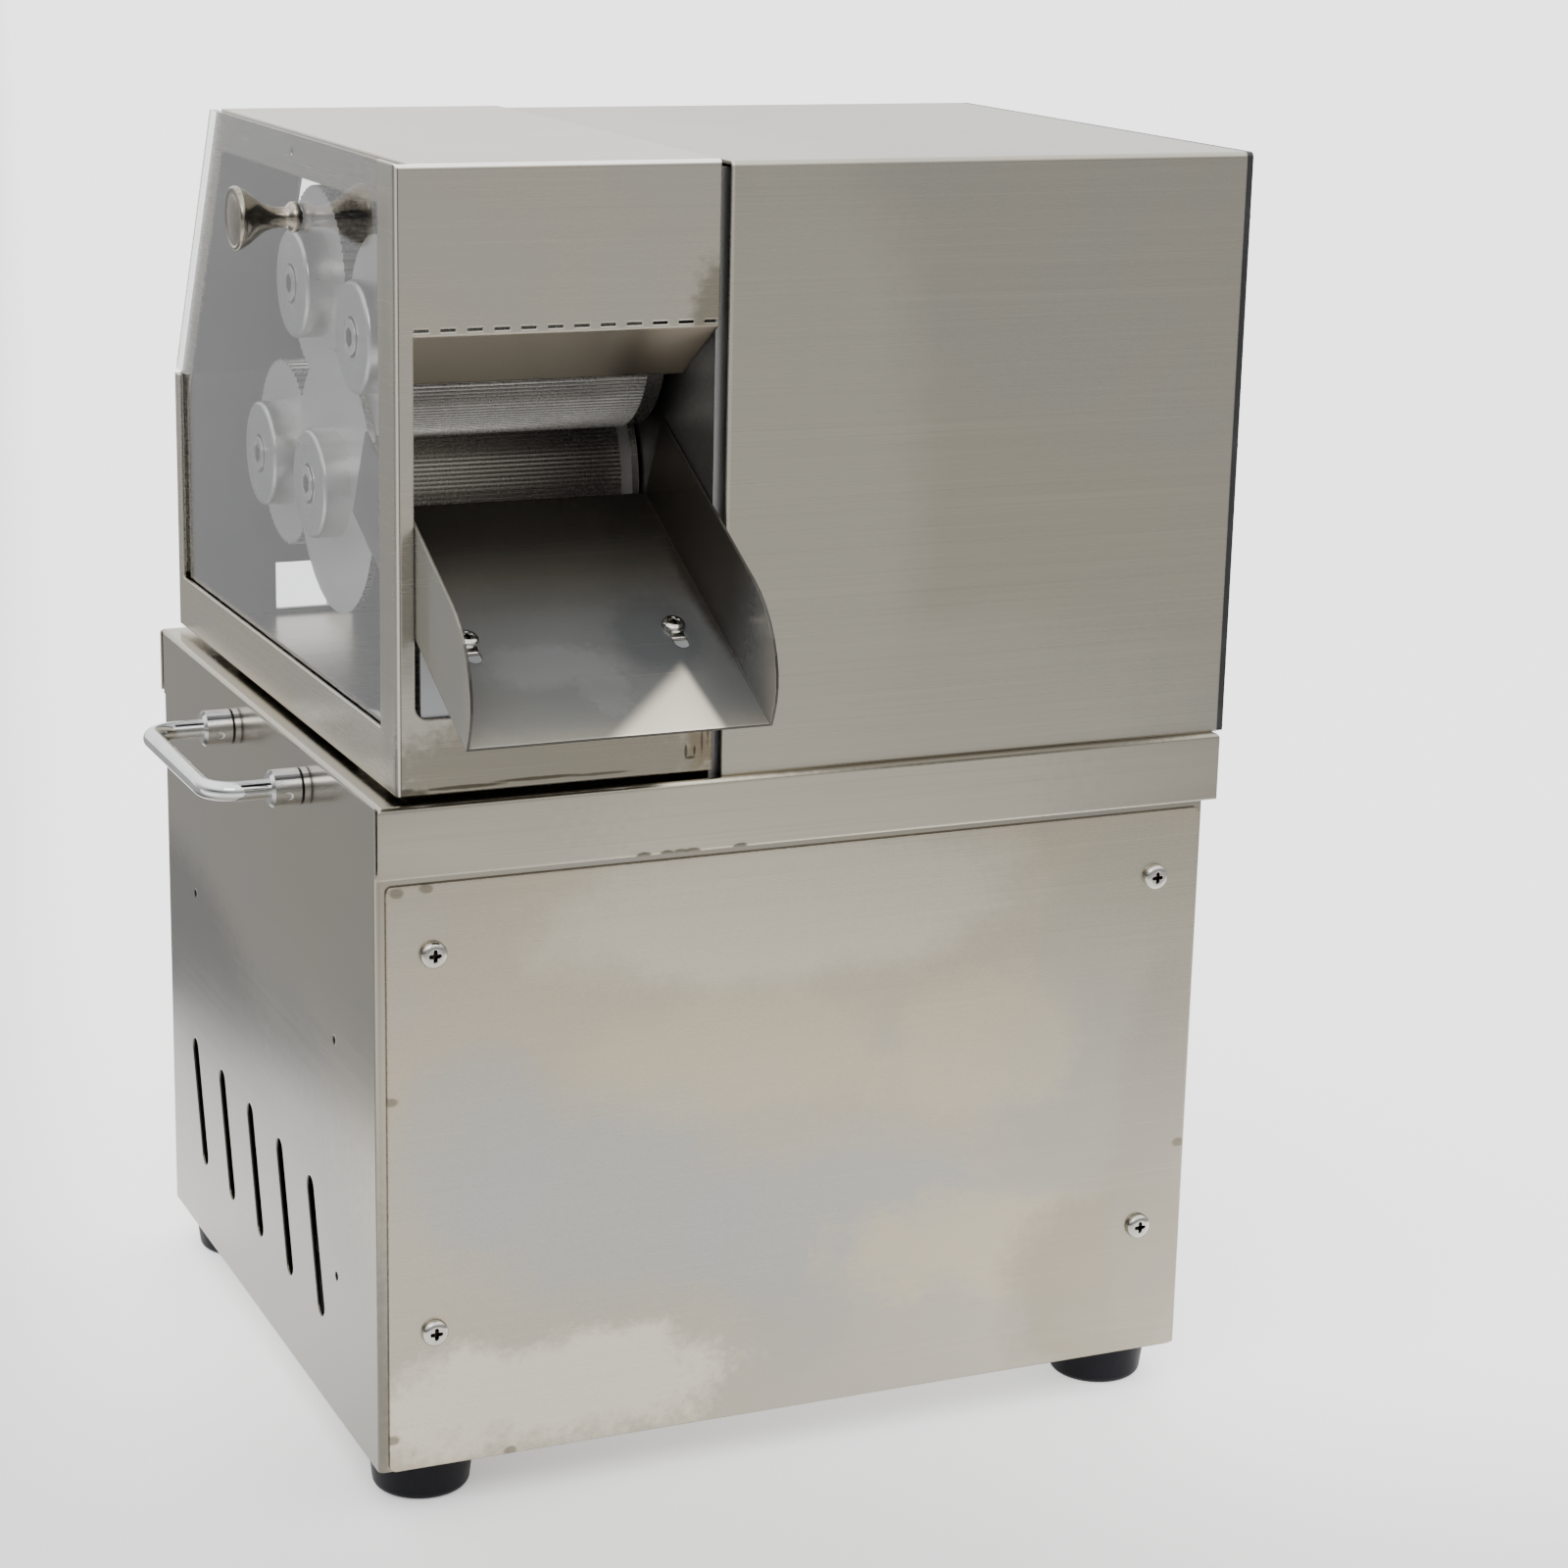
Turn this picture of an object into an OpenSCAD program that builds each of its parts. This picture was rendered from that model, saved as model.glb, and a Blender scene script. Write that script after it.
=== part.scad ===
// Electric sugarcane juicer: a sheet-steel cabinet that carries a four-roller press head and its drive.
// Every piece is drawn from the cabinet's front left foot corner: X runs right, Y runs back, Z runs up.
// The finished model is moved so that its origin lies on the floor under the middle of its box.

/* [Cabinet] */
// Width of the cabinet
base_w = 400; // [380:1:460]
// Depth of the cabinet
base_d = 355; // [345:1:400]
// Height of the cabinet from its lower edge to the deck
base_h = 304; // [280:1:360]
// Thickness of the folded sheet
sheet = 1.5; // [1:0.1:2]
// Height of the flange that hangs from the deck
deck_flange_h = 31.5; // [20:0.5:40]
// How far the deck stands out past the front and the back
deck_proud = 5.5; // [3:0.5:10]
// How far the deck stands out past the right side
deck_side_proud = 3.6; // [2:0.2:8]
// Outer radius of the deck's folded edges
fold_r = 2.5; // [2:0.1:3]
// Width of the inward returns that the panels are screwed to
return_w = 38; // [30:1:60]

/* [Panels and vents] */
// Gap between a panel's side and the cabinet's side
panel_side_gap = 4.5; // [2:0.5:8]
// Distance of the panels' upper edge below the deck
panel_top_gap = 36; // [34:0.5:60]
// Corner radius of a panel
panel_r = 3; // [1:0.5:6]
// Distance of the panel screws from the cabinet's side
panel_screw_x = 25; // [15:1:30]
// Height of the lower panel screws above the cabinet's lower edge
panel_screw_z = 64; // [30:1:90]
// Distance of the upper panel screws below the deck
panel_screw_drop = 67; // [50:1:90]
// Number of vent slots in the left side
vent_count = 5; // [3:1:6]
// Distance of the last vent slot from the back
vent_end = 56; // [40:1:90]
// Width of a vent slot
vent_w = 11; // [5:0.5:14]
// Length of a vent slot, end to end
vent_l = 65; // [40:1:80]
// Lean of the vent slots to the back
vent_lean = 16; // [0:1:25]
// Distance of the first vent slot from the front
vent_y = 95; // [80:1:110]
// Height of the vent slots' middle above the cabinet's lower edge
vent_z = 71; // [50:1:110]

/* [Feet] */
// Diameter of a rubber foot at the cabinet
foot_d = 48; // [36:1:52]
// Diameter of a rubber foot at the floor
foot_tip_d = 44; // [32:1:48]
// Height of a rubber foot
foot_h = 20.5; // [14:0.5:30]
// Distance of a foot's middle from the cabinet's sides
foot_x = 28; // [27:1:45]
// Distance of a foot's middle from the cabinet's front and back
foot_y = 28; // [27:1:45]

/* [Handles] */
// Distance between a handle's two posts
handle_span = 115; // [90:1:140]
// Distance of the front post from the cabinet's front
handle_y = 106; // [80:1:140]
// Depth of the posts below the deck
handle_drop = 18; // [12:1:22]
// How far the middle of the bar stands out
handle_reach = 42; // [36:1:60]
// Diameter of the bar
handle_bar_d = 9; // [7:0.5:12]
// Bend radius of the bar's middle line
handle_bend_r = 14; // [10:1:18]
// Diameter of a ferrule
ferrule_d = 17; // [14:0.5:20]
// Length of a ferrule
ferrule_l = 16; // [12:0.5:20]

/* [Press head] */
// Distance of the head from the cabinet's left side
head_x = 10; // [6:0.5:20]
// Width of the head
head_w = 142.5; // [135:0.5:150]
// How far the head's foot stands out past the cabinet's back
head_back = 3; // [0:0.5:5]
// How far the sloped back leans in from the foot to the top
slope_run = 76; // [50:1:90]
// Height of the head above the deck
head_h = 265; // [255:1:290]
// Height above the deck where the back begins to slope
knee_h = 130; // [110:1:140]
// Gap between the deck and the head's lower edge
head_gap = 2.8; // [1.5:0.1:5]
// Width of the front window channel
channel_w = 22; // [16:1:26]
// Height of the lip under the window
lip_h = 25; // [18:1:28]
// Width of the rear window channel
rear_channel_w = 8; // [6:0.5:12]
// Width of the flange behind the window's top edge
top_band = 19; // [12:0.5:24]
// Width of the flange behind the window's sloped edge
slope_band = 14; // [8:0.5:18]

/* [Window] */
// Thickness of the clear window panel
window_t = 3; // [2.5:0.5:4]
// How far the panel stands out past the sloped back
window_overhang = 7; // [2:0.5:10]
// Distance of the knob from the head's front
knob_y = 144; // [120:1:170]
// Distance of the knob below the head's top
knob_drop = 36; // [30:1:50]
// Diameter of the knob's head
knob_d = 28; // [22:1:32]
// Length of the knob
knob_l = 30; // [24:1:36]

/* [Outlet and chute] */
// Distance of the outlet from the flange behind the window
outlet_margin = 0.5; // [0.4:0.1:2]
// Height of the outlet's lower edge above the deck
outlet_low = 35.5; // [30:0.5:40]
// Height of the flap's fold above the deck
outlet_high = 195.5; // [190:0.5:200]
// Corner radius of the outlet
outlet_r = 6; // [3:0.5:10]
// Length of the folded flap
flap_l = 28.5; // [20:0.5:32]
// Angle of the flap from upright
flap_lean = 38.5; // [20:0.5:45]
// How much shorter the flap's free edge is on the right
flap_taper = 9; // [4:0.5:14]
// Number of slots along the flap's fold
perf_count = 12; // [6:1:14]
// Slope of the chute's floor
chute_slope = 26.5; // [20:0.5:30]
// Height of the chute's floor above the deck at the front plate
chute_h = 71.5; // [68:0.5:76]
// Reach of the chute's floor past the front plate, along its slope
chute_reach = 73; // [50:1:90]
// Gap between the chute's inner end and the main roller's discs
chute_air = 7.4; // [5:0.1:20]
// Height of the chute's walls, square to its floor
chute_wall_h = 41; // [30:1:42]
// Length of the rounded end of the chute's walls
chute_curve = 44.5; // [30:0.5:50]

/* [Inlet and juice outlet] */
// Inside width of the feed hopper
hopper_w = 76; // [60:1:80]
// Inside height of the feed hopper
hopper_in_h = 54; // [40:1:60]
// Length of the feed hopper
hopper_l = 42; // [30:1:50]
// Width of the juice outlet
juice_w = 40; // [30:1:50]
// Height of the juice outlet
juice_h = 24; // [18:1:30]
// Distance of the juice outlet from the head's left side
juice_x = 52; // [40:1:60]
// Length of the juice spout
spout_l = 45; // [30:1:60]
// Slope of the juice spout
spout_slope = 12; // [5:1:20]

/* [Rollers] */
// Gap between the main roller and each outer roller
nip = 3; // [1:0.1:5]
// How much larger the main roller's radius is than an outer roller's
roller_step = 2; // [0:0.1:4]
// How far the main roller's end discs stand out past its surface
disc_rim = 13.5; // [8:0.5:16]
// Thickness of an end disc
disc_t = 3.2; // [2:0.1:4]
// Diameter of a roller's end cap
cap_d = 49; // [40:1:54]
// Length of a roller's end cap
cap_l = 12.3; // [11.5:0.1:13]
// Number of grooves in the top and rear rollers
coarse_grooves = 64; // [40:1:80]
// Number of grooves in the main and front rollers
fine_grooves = 144; // [90:1:150]
// Direction of the top roller from the main roller
top_angle = 67.5; // [65:0.5:70]
// Direction of the front roller from the main roller
front_angle = 127.5; // [126:0.5:129]
// Direction of the rear roller from the main roller
rear_angle = -1; // [-3:0.5:1]

/* [Gears and drive] */
// Number of teeth of every gear
gear_teeth = 46; // [40:1:50]
// Width of one gear
gear_w = 14; // [10:0.5:16]
// Diameter of a roller shaft
shaft_d = 25; // [20:1:30]
// Outer diameter of a shaft bearing
bearing_d = 47; // [40:1:52]
// Thickness of the two bearing plates
plate_t = 12; // [10:0.5:14]
// Diameter of the reducer's body
reducer_d = 90; // [70:1:94]
// Length of the reducer's body
reducer_l = 66; // [50:1:66]
// Diameter of the motor
motor_d = 100; // [80:1:106]
// Gap between the motor and the end panel
motor_air = 5.5; // [3:0.5:20]

/* [Motor cover] */
// Gap between the head and the motor cover
cover_gap = 4; // [3:0.5:8]
// How far the motor cover reaches past the deck's right edge
cover_over = 0.4; // [0:0.1:2]
// How far the motor cover's front stands out
cover_proud = 1.6; // [1:0.1:2.5]
// How much lower the motor cover is than the head
cover_drop = 1; // [0.5:0.1:2]
// Thickness of the end panel
end_panel_t = 3; // [2:0.5:5]

/* [Hidden] */
$fn = 48;
// Clearances: pieces of one body, running fits, loose neighbours, and the overrun of every cut
seat = 0.02;
run = 0.03;
play = 0.3;
over = 1;

// Colours
steel = "#b9b3a8";
bright_steel = "#c9cbcd";
dark_steel = "#7d7f82";
rubber = "#1c1c1e";
black = "#222224";
cast = "#5d6166";
clear = [0.55, 0.57, 0.6, 0.4];

// Screws
screw_d = 6;
screw_head_d = 12;
screw_head_h = 3.6;
screw_l = 10;
bolt_d = 8;
bolt_head_d = 14;
bolt_head_h = 5.5;
foot_bolt_d = 6;
foot_bolt_head_d = 12;
foot_bolt_head_h = 5;
foot_recess_d = 14;
foot_recess_h = 8;
foot_edge_r = 4;
nut_d = 11.5;
nut_h = 5;
side_hole_d = 4;
side_hole_y = 62;
side_hole_low_z = 69;
side_hole_high_z = 181;
side_hole_back = 55;

// Heights and places that several pieces share
head_end = head_x + head_w;
cover_x = head_end + cover_gap;
cover_end = base_w + deck_side_proud + cover_over;
deck_top = foot_h + base_h;
panel_h = base_h - panel_top_gap;
panel_screw_pitch = base_h - panel_screw_drop - panel_screw_z;
foot_bolt_l = foot_h + sheet + nut_h + foot_bolt_head_h / 2 - foot_recess_h;
vent_pitch = (base_d - vent_y - vent_end) / (vent_count - 1);
head_d = base_d + head_back;
head_top_d = head_d - slope_run;
knob_h = head_h - knob_drop;
head_z = deck_top + head_gap;
head_top = deck_top + head_h;
knee_z = deck_top + knee_h;
window_air = 1;
window_x = head_x + sheet + window_air;
window_back = window_x + window_t;
body_x = window_back + window_air / 2;
outlet_x = body_x + sheet + outlet_margin;
slope_rise = head_top - knee_z;
slope_len = norm([slope_run, slope_rise]);
slope_tilt = atan2(slope_run, slope_rise);
normal_y = slope_rise / slope_len;
normal_z = slope_run / slope_len;

// Roller places: the rollers' spacing and place follow the head
axis_gap_share = 0.347;
main_y_share = 0.405;
main_h_share = 0.417;
cap_air = 2.3;
wall_air = 1.4;
main_cap_x = window_back + cap_air;
disc_x = main_cap_x + cap_l;
roller_x = disc_x + disc_t + play;
plate_x = head_end;
roller_end = plate_x - wall_air - disc_t - play;
roller_l = roller_end - roller_x;
plate_end = plate_x + plate_t;
gear_air = 2;
gear_a_x = plate_end + gear_air;
gear_b_x = gear_a_x + gear_w + gear_air;
outer_x = gear_b_x + gear_w + gear_air;
outer_end = outer_x + plate_t;
axis_gap = axis_gap_share * head_h;
gear_module = axis_gap / gear_teeth;
roller_d = axis_gap - nip - roller_step;
main_roller_d = roller_d + 2 * roller_step;
disc_d = main_roller_d + 2 * disc_rim;
main_axis = [main_y_share * head_d, deck_top + main_h_share * head_h];
chute_depth = (main_axis[0] - disc_d / 2 - chute_air) / cos(chute_slope);
function around(angle) = main_axis + axis_gap * [cos(angle), sin(angle)];
top_axis = around(top_angle);
front_axis = around(front_angle);
rear_axis = around(rear_angle);
axes = [main_axis, top_axis, front_axis, rear_axis];

// Reach of the whole machine, for the origin
side_reach = handle_reach + handle_bar_d / 2;
mid_x = (base_w + deck_side_proud) / 2;
chute_lip = 3.7;
curve_h = chute_wall_h - chute_lip;
chute_front = cos(chute_slope) * (chute_reach - chute_curve) + sin(chute_slope) * chute_lip
    + norm([cos(chute_slope) * chute_curve, sin(chute_slope) * curve_h]);
spout_back = head_d + cos(spout_slope) * spout_l + sin(spout_slope) * (juice_h - sheet);
mid_y = (spout_back - chute_front) / 2;

// Small sizes of the sheet pieces
panel_right_gap = 2.5;
perf_l = 6.8;
perf_h = 1.3;
chute_t = 1.2;
ledge_in = 30;
ledge_out = 12;
bracket_low = 24;
bracket_side = 3;
chute_screw_v = -5.5;
chute_screw_l = 6;
chute_slot_l = 18;
chute_slot_w = 6.6;
chute_screw_in = 21;
hopper_share = 0.6;
hopper_rim = 8;
hopper_margin = 5;
band_hole_d = 4;
band_hole_drop = 9;
band_hole_y = 157;
spout_rim = 8;
juice_sill = 4;
rail_w = 40;
floor_lip = 20;
knob_screw_d = 5;
knob_screw_head_d = 9;
knob_screw_head_h = 2.5;
knob_screw_l = 12;
knob_shares = [
    [0, 0.44], [0.05, 0.48], [0.1, 0.48], [0.16, 0.42], [0.2, 0.34], [0.3, 0.32], [0.42, 0.36], [0.54, 0.47],
    [0.66, 0.66], [0.77, 0.84], [0.86, 0.95], [0.91, 1], [0.95, 1], [0.98, 0.96], [1, 0.86]
];

// Small sizes of the drive
groove_depth_coarse = 1.6;
groove_depth_fine = 0.7;
groove_flat_share = 0.4;
cap_edge_r = 2;
cap_bolt_d = 10;
cap_bolt_head_d = 16;
cap_bolt_head_h = 10;
cap_bolt_l = 32;
cap_recess_d = 18;
cap_recess_h = 9;
cap_socket_d = 9.2;
cap_socket_h = 5;
pressure_angle = 20;
gear_backlash = 0.3;
gear_root_share = 1.25;
bearing_groove = 1.2;
bearing_race_share = 0.4;
bearing_race = bearing_race_share * (bearing_d - shaft_d) / 2;
plate_inset = 2;
plate_top_gap = 4;
outer_y = 40;
outer_back_share = 0.585;
outer_w = rear_axis[0] + outer_back_share * (head_d - rear_axis[0]) - outer_y;
outer_low = 36;
outer_h = head_h - outer_low - 2 * plate_top_gap;
outer_r = 14;
pillar_d = 20;
pillar_front = 56;
pillar_low = 52;
pillar_drop = 20;
pillar_in = 20;
pillar_back_share = 0.44;
pillars = [
    [pillar_front, pillar_low],
    [rear_axis[0] + pillar_back_share * (head_d - rear_axis[0]), pillar_low],
    [pillar_front, head_h - pillar_drop],
    [head_top_d - pillar_in, head_h - pillar_drop]
];
bracket_y = 60;
bracket_l = 240;
bracket_leg = 40;
bracket_t = 5;
bracket_bolt_in = 40;
bracket_hole_x = plate_end + bracket_t + bracket_leg / 2;
reducer_lip = 19;
reducer_rib = 3;
reducer_flange_d = reducer_d + 2 * reducer_lip;
reducer_flange_t = 10;
reducer_bolt_r = (reducer_d + reducer_flange_d) / 4 + reducer_rib;
reducer_turn = (top_angle + front_angle) / 2;
reducer_bore_l = 32;
reducer_rib_shares = [0.3, 0.5, 0.7];
plain_end = 8;
motor_bell = 14;
motor_bell_inset = 5;
motor_l = cover_end - motor_air - motor_bell - outer_end - reducer_flange_t - reducer_l;
terminal_share = 0.45;
terminal = [terminal_share * motor_l, 46, 26];

// Small sizes of the motor housing
cover_w = cover_end - cover_x;
cover_top = head_top - cover_drop;
cover_return = 14;
end_screw_in = 9.5;
end_screw_low = 30;
end_screw_high = 29;
switch_in = 104;
switch_z = 82;
switch_w = 31;
switch_tall = 45;
switch_rim = 4;
switch_rim_t = 2.5;
switch_deep = 24;
switch_wall = 2;
switch_gap = 0.6;
rocker_pin_d = 3;
rocker_pin_in = 1.2;
rocker_pivot = 2;
rocker_room = 8;
rocker_lift = 4.5;
rocker_base = 4;
rocker_ridge = 1.5;
box_w = switch_w - 2 * switch_rim;
box_tall = switch_tall - 2 * switch_rim;
inlet_in = 59;
inlet_z = 60;
inlet_d = 22;
inlet_rim_d = 31;
inlet_rim_t = 3;
inlet_deep = 18;
inlet_stand = 8;
inlet_bore_d = 16;
inlet_bore_l = 20;
inlet_pin_d = 3;
inlet_pin_l = 12;
inlet_pin_pitch = 7.5;
control = [110, 160, 34];
control_x = 46;
control_y = 92;
control_fins = 14;
control_fin_t = 3;
control_fin_h = 18;
control_foot = 12;

// Shared frames and shapes

// Moves a piece from the cabinet's corner to the model's origin
module in_frame() {
    translate([-mid_x, -mid_y, 0]) children();
}

// Cylinder along X
module x_rod(d, l) {
    rotate([0, 90, 0]) cylinder(d = d, h = l);
}

// Cylinder along Y
module y_rod(d, l) {
    rotate([-90, 0, 0]) cylinder(d = d, h = l);
}

// Outline in Y and Z, drawn out along X
module along_x(l) {
    rotate([90, 0, 90]) linear_extrude(l) children();
}

// Outline in X and Z, drawn out along Y
module along_y(l) {
    translate([0, l, 0]) rotate([90, 0, 0]) linear_extrude(l) children();
}

// Outline of radius over height, turned about X and pointing to the left
module turned_left() {
    rotate([0, -90, 0]) rotate_extrude() children();
}

module round_rect(w, h, r) {
    translate([r, 0]) square([w - 2 * r, h]);
    translate([0, r]) square([w, h - 2 * r]);
    for (x = [r, w - r], y = [r, h - r]) {
        translate([x, y]) circle(r = r);
    }
}

// Slot with round ends that stands on its length
module slot_2d(w, l) {
    translate([-w / 2, -(l - w) / 2]) square([w, l - w]);
    for (s = [-1, 1]) {
        translate([0, s * (l - w) / 2]) circle(d = w);
    }
}

// What a rounded upper edge takes off a square one: the corner is the origin, the body lies to one side
module fold_2d(r, side) {
    difference() {
        translate([side > 0 ? -over : -r, -r]) square([r + over, r + over]);
        translate([side * r, -r]) circle(r = r);
    }
}

// What a rounded upright edge takes off a square one: the corner is the origin, the body lies towards sx, sy
module upright_fold(r, sx, sy, l) {
    mirror([sx > 0 ? 0 : 1, 0, 0]) mirror([0, sy > 0 ? 0 : 1, 0]) linear_extrude(l) difference() {
        translate([-over, -over]) square([r + over, r + over]);
        translate([r, r]) circle(r = r);
    }
}

// Pan-head screw that points into +Y, its head's seat at the origin
module pan_screw(l) {
    dome = [for (a = [0 : 15 : 90]) [screw_head_d / 2 * cos(a), screw_head_h * sin(a)]];
    rotate([90, 0, 0]) rotate_extrude() polygon(concat([[0, 0]], dome));
    y_rod(screw_d - 2 * seat, l);
}

// Hex-head bolt that points into +X, its head's seat at the origin
module hex_bolt(l) {
    translate([-bolt_head_h, 0, 0]) rotate([0, 90, 0]) cylinder(d = bolt_head_d, h = bolt_head_h, $fn = 6);
    x_rod(bolt_d - 2 * seat, l);
}

// Place of the back at a height
function back_at(z) = head_d - max(0, z - knee_z) * slope_run / slope_rise;

// Outline of the motor cover, moved in by t and open down to z
function cover_outline(t, z) = let (knee = knee_z - t * (1 - normal_y) / normal_z) [
    [t - cover_proud, z],
    [head_d - t, z],
    [head_d - t, knee],
    [head_d - t - (cover_top - t - knee) * slope_run / slope_rise, cover_top - t],
    [t - cover_proud, cover_top - t]
];

// Side outline of the head, drawn in by t from its real surface, with its foot at z
function head_outline(t, z) = [
    [t, z],
    [head_d - t, z],
    [head_d - t, knee_z - t * (1 - normal_y) / normal_z],
    [head_top_d - t * (1 - normal_z) / normal_y, head_top - t],
    [t, head_top - t]
];

// Frame on the sloped back: Y points out, Z up the slope
module on_slope() {
    mid = head_end - hopper_margin - hopper_rim - sheet - hopper_w / 2;
    translate([mid, head_d - hopper_share * slope_run, knee_z + hopper_share * slope_rise])
        rotate([slope_tilt, 0, 0]) children();
}

// Frame on the chute's floor: Y runs up the slope into the head, Z stands square to it
module on_chute() {
    translate([0, 0, deck_top + chute_h]) rotate([chute_slope, 0, 0]) children();
}

// Cabinet

module base_shell() {
    deck_w = base_w + deck_side_proud;
    deck_d = base_d + 2 * deck_proud;
    flange_z = deck_top - deck_flange_h;
    color(steel) in_frame() difference() {
        union() {
            translate([0, 0, foot_h]) cube([sheet, base_d, base_h]);
            translate([base_w - sheet, 0, foot_h]) cube([sheet, base_d, base_h]);
            translate([0, -deck_proud, deck_top - sheet]) cube([deck_w, deck_d, sheet]);
            for (y = [-deck_proud, base_d + deck_proud - sheet]) {
                translate([0, y, flange_z]) cube([deck_w, sheet, deck_flange_h]);
            }
            translate([deck_w - sheet, -deck_proud, flange_z]) cube([sheet, deck_d, deck_flange_h]);
            for (x = [0, base_w - return_w], y = [0, base_d - sheet]) {
                translate([x, y, foot_h]) cube([return_w, sheet, base_h]);
            }
            for (y = [0, base_d - sheet]) {
                translate([0, y, deck_top - return_w]) cube([base_w, sheet, return_w]);
            }
        }
        // rounded folds along the deck's left, right, front and back edges
        translate([0, -deck_proud - over, deck_top]) along_y(deck_d + 2 * over) fold_2d(fold_r, 1);
        translate([deck_w, -deck_proud - over, deck_top]) along_y(deck_d + 2 * over) fold_2d(fold_r, -1);
        translate([-over, -deck_proud, deck_top]) along_x(deck_w + 2 * over) fold_2d(fold_r, 1);
        translate([-over, base_d + deck_proud, deck_top]) along_x(deck_w + 2 * over) fold_2d(fold_r, -1);
        for (x = [0, base_w], y = [0, base_d]) {
            translate([x, y, foot_h - over])
                upright_fold(fold_r, x > 0 ? -1 : 1, y > 0 ? -1 : 1, base_h - deck_flange_h);
        }
        // vent slots and small holes in the left side
        for (i = [0 : vent_count - 1]) {
            translate([-over, vent_y + i * vent_pitch, foot_h + vent_z]) rotate([-vent_lean, 0, 0])
                along_x(sheet + 2 * over) slot_2d(vent_w, vent_l);
        }
        for (p = [[side_hole_y, side_hole_low_z], [side_hole_y, side_hole_high_z],
                  [base_d - side_hole_back, side_hole_high_z]]) {
            translate([-over, p[0], foot_h + p[1]]) x_rod(side_hole_d, sheet + 2 * over);
        }
        // screw holes in the returns and in the deck
        at_bracket() translate([bracket_hole_x, 0, -sheet - over])
            cylinder(d = bolt_d + 2 * seat, h = sheet + 2 * over);
        at_panel_screws() translate([0, -over, 0]) y_rod(screw_d + 2 * seat, base_d + 2 * over);
    }
}

module at_panel_screws() {
    for (x = [panel_screw_x, base_w - panel_screw_x], z = [0, panel_screw_pitch]) {
        translate([x, 0, foot_h + panel_screw_z + z]) children();
    }
}

module at_feet() {
    for (x = [foot_x, base_w - foot_x], y = [foot_y, base_d - foot_y]) {
        translate([x, y, 0]) children();
    }
}

module base_floor() {
    floor_w = base_w - 2 * sheet;
    floor_d = base_d - 2 * sheet;
    color(steel) in_frame() difference() {
        translate([sheet, sheet, foot_h]) union() {
            cube([floor_w, floor_d, sheet]);
            for (y = [0, floor_d - sheet]) {
                translate([0, y, 0]) cube([floor_w, sheet, floor_lip]);
            }
        }
        at_feet() translate([0, 0, foot_h - over]) cylinder(d = foot_bolt_d + 2 * seat, h = sheet + 2 * over);
    }
}

// Cover plate of the cabinet's front or back, in X and Z
module panel_2d() {
    difference() {
        translate([panel_side_gap, foot_h + play])
            round_rect(base_w - panel_side_gap - panel_right_gap, panel_h, panel_r);
        for (x = [panel_screw_x, base_w - panel_screw_x], z = [0, panel_screw_pitch]) {
            translate([x, foot_h + panel_screw_z + z]) circle(d = screw_d + 2 * seat);
        }
    }
}

module front_panel() {
    color(steel) in_frame() translate([0, -sheet, 0]) along_y(sheet) panel_2d();
}

module rear_panel() {
    color(steel) in_frame() translate([0, base_d, 0]) along_y(sheet) panel_2d();
}

module panel_screws() {
    color(bright_steel) in_frame() {
        at_panel_screws() translate([0, -sheet, 0]) pan_screw(screw_l);
        at_panel_screws() translate([0, base_d + sheet, 0]) rotate([0, 0, 180]) pan_screw(screw_l);
    }
}

module rubber_feet() {
    tip_r = foot_tip_d / 2;
    round_end = [for (a = [0 : 15 : 90])
        [tip_r - foot_edge_r + foot_edge_r * sin(a), foot_edge_r - foot_edge_r * cos(a)]];
    color(rubber) in_frame() at_feet() difference() {
        rotate_extrude() polygon(concat([[0, 0]], round_end, [[foot_d / 2, foot_h], [0, foot_h]]));
        translate([0, 0, -over]) cylinder(d = foot_recess_d, h = foot_recess_h + over);
        cylinder(d = foot_bolt_d + 2 * seat, h = foot_h + over);
    }
}

module foot_bolts() {
    color(bright_steel) in_frame() at_feet() {
        translate([0, 0, foot_recess_h - foot_bolt_head_h])
            cylinder(d = foot_bolt_head_d, h = foot_bolt_head_h, $fn = 6);
        translate([0, 0, foot_recess_h - foot_bolt_head_h / 2]) cylinder(d = foot_bolt_d, h = foot_bolt_l);
        translate([0, 0, foot_h + sheet]) cylinder(d = nut_d, h = nut_h, $fn = 6);
    }
}

module control_unit() {
    fin_pitch = (control[1] - control_fin_t) / (control_fins - 1);
    color(cast) in_frame() translate([control_x, control_y, foot_h + sheet]) {
        cube(control);
        translate([0, -control_foot, 0]) cube([control[0], control[1] + 2 * control_foot, control_fin_t]);
        for (i = [0 : control_fins - 1]) {
            translate([0, i * fin_pitch, control[2]]) cube([control[0], control_fin_t, control_fin_h]);
        }
    }
}

// Bow handle whose posts stand on the plane X = 0 and reach to the left
module bow() {
    bend_x = handle_bend_r - handle_reach;
    post_z = deck_top - handle_drop;
    for (y = [handle_y, handle_y + handle_span]) {
        translate([bend_x, y, post_z]) x_rod(handle_bar_d, -bend_x);
    }
    translate([bend_x, handle_y + handle_bend_r, post_z]) rotate([0, 0, 180])
        rotate_extrude(angle = 90) translate([handle_bend_r, 0]) circle(d = handle_bar_d);
    translate([bend_x, handle_y + handle_span - handle_bend_r, post_z]) rotate([0, 0, 90])
        rotate_extrude(angle = 90) translate([handle_bend_r, 0]) circle(d = handle_bar_d);
    translate([-handle_reach, handle_y + handle_bend_r, post_z])
        y_rod(handle_bar_d, handle_span - 2 * handle_bend_r);
}

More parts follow.
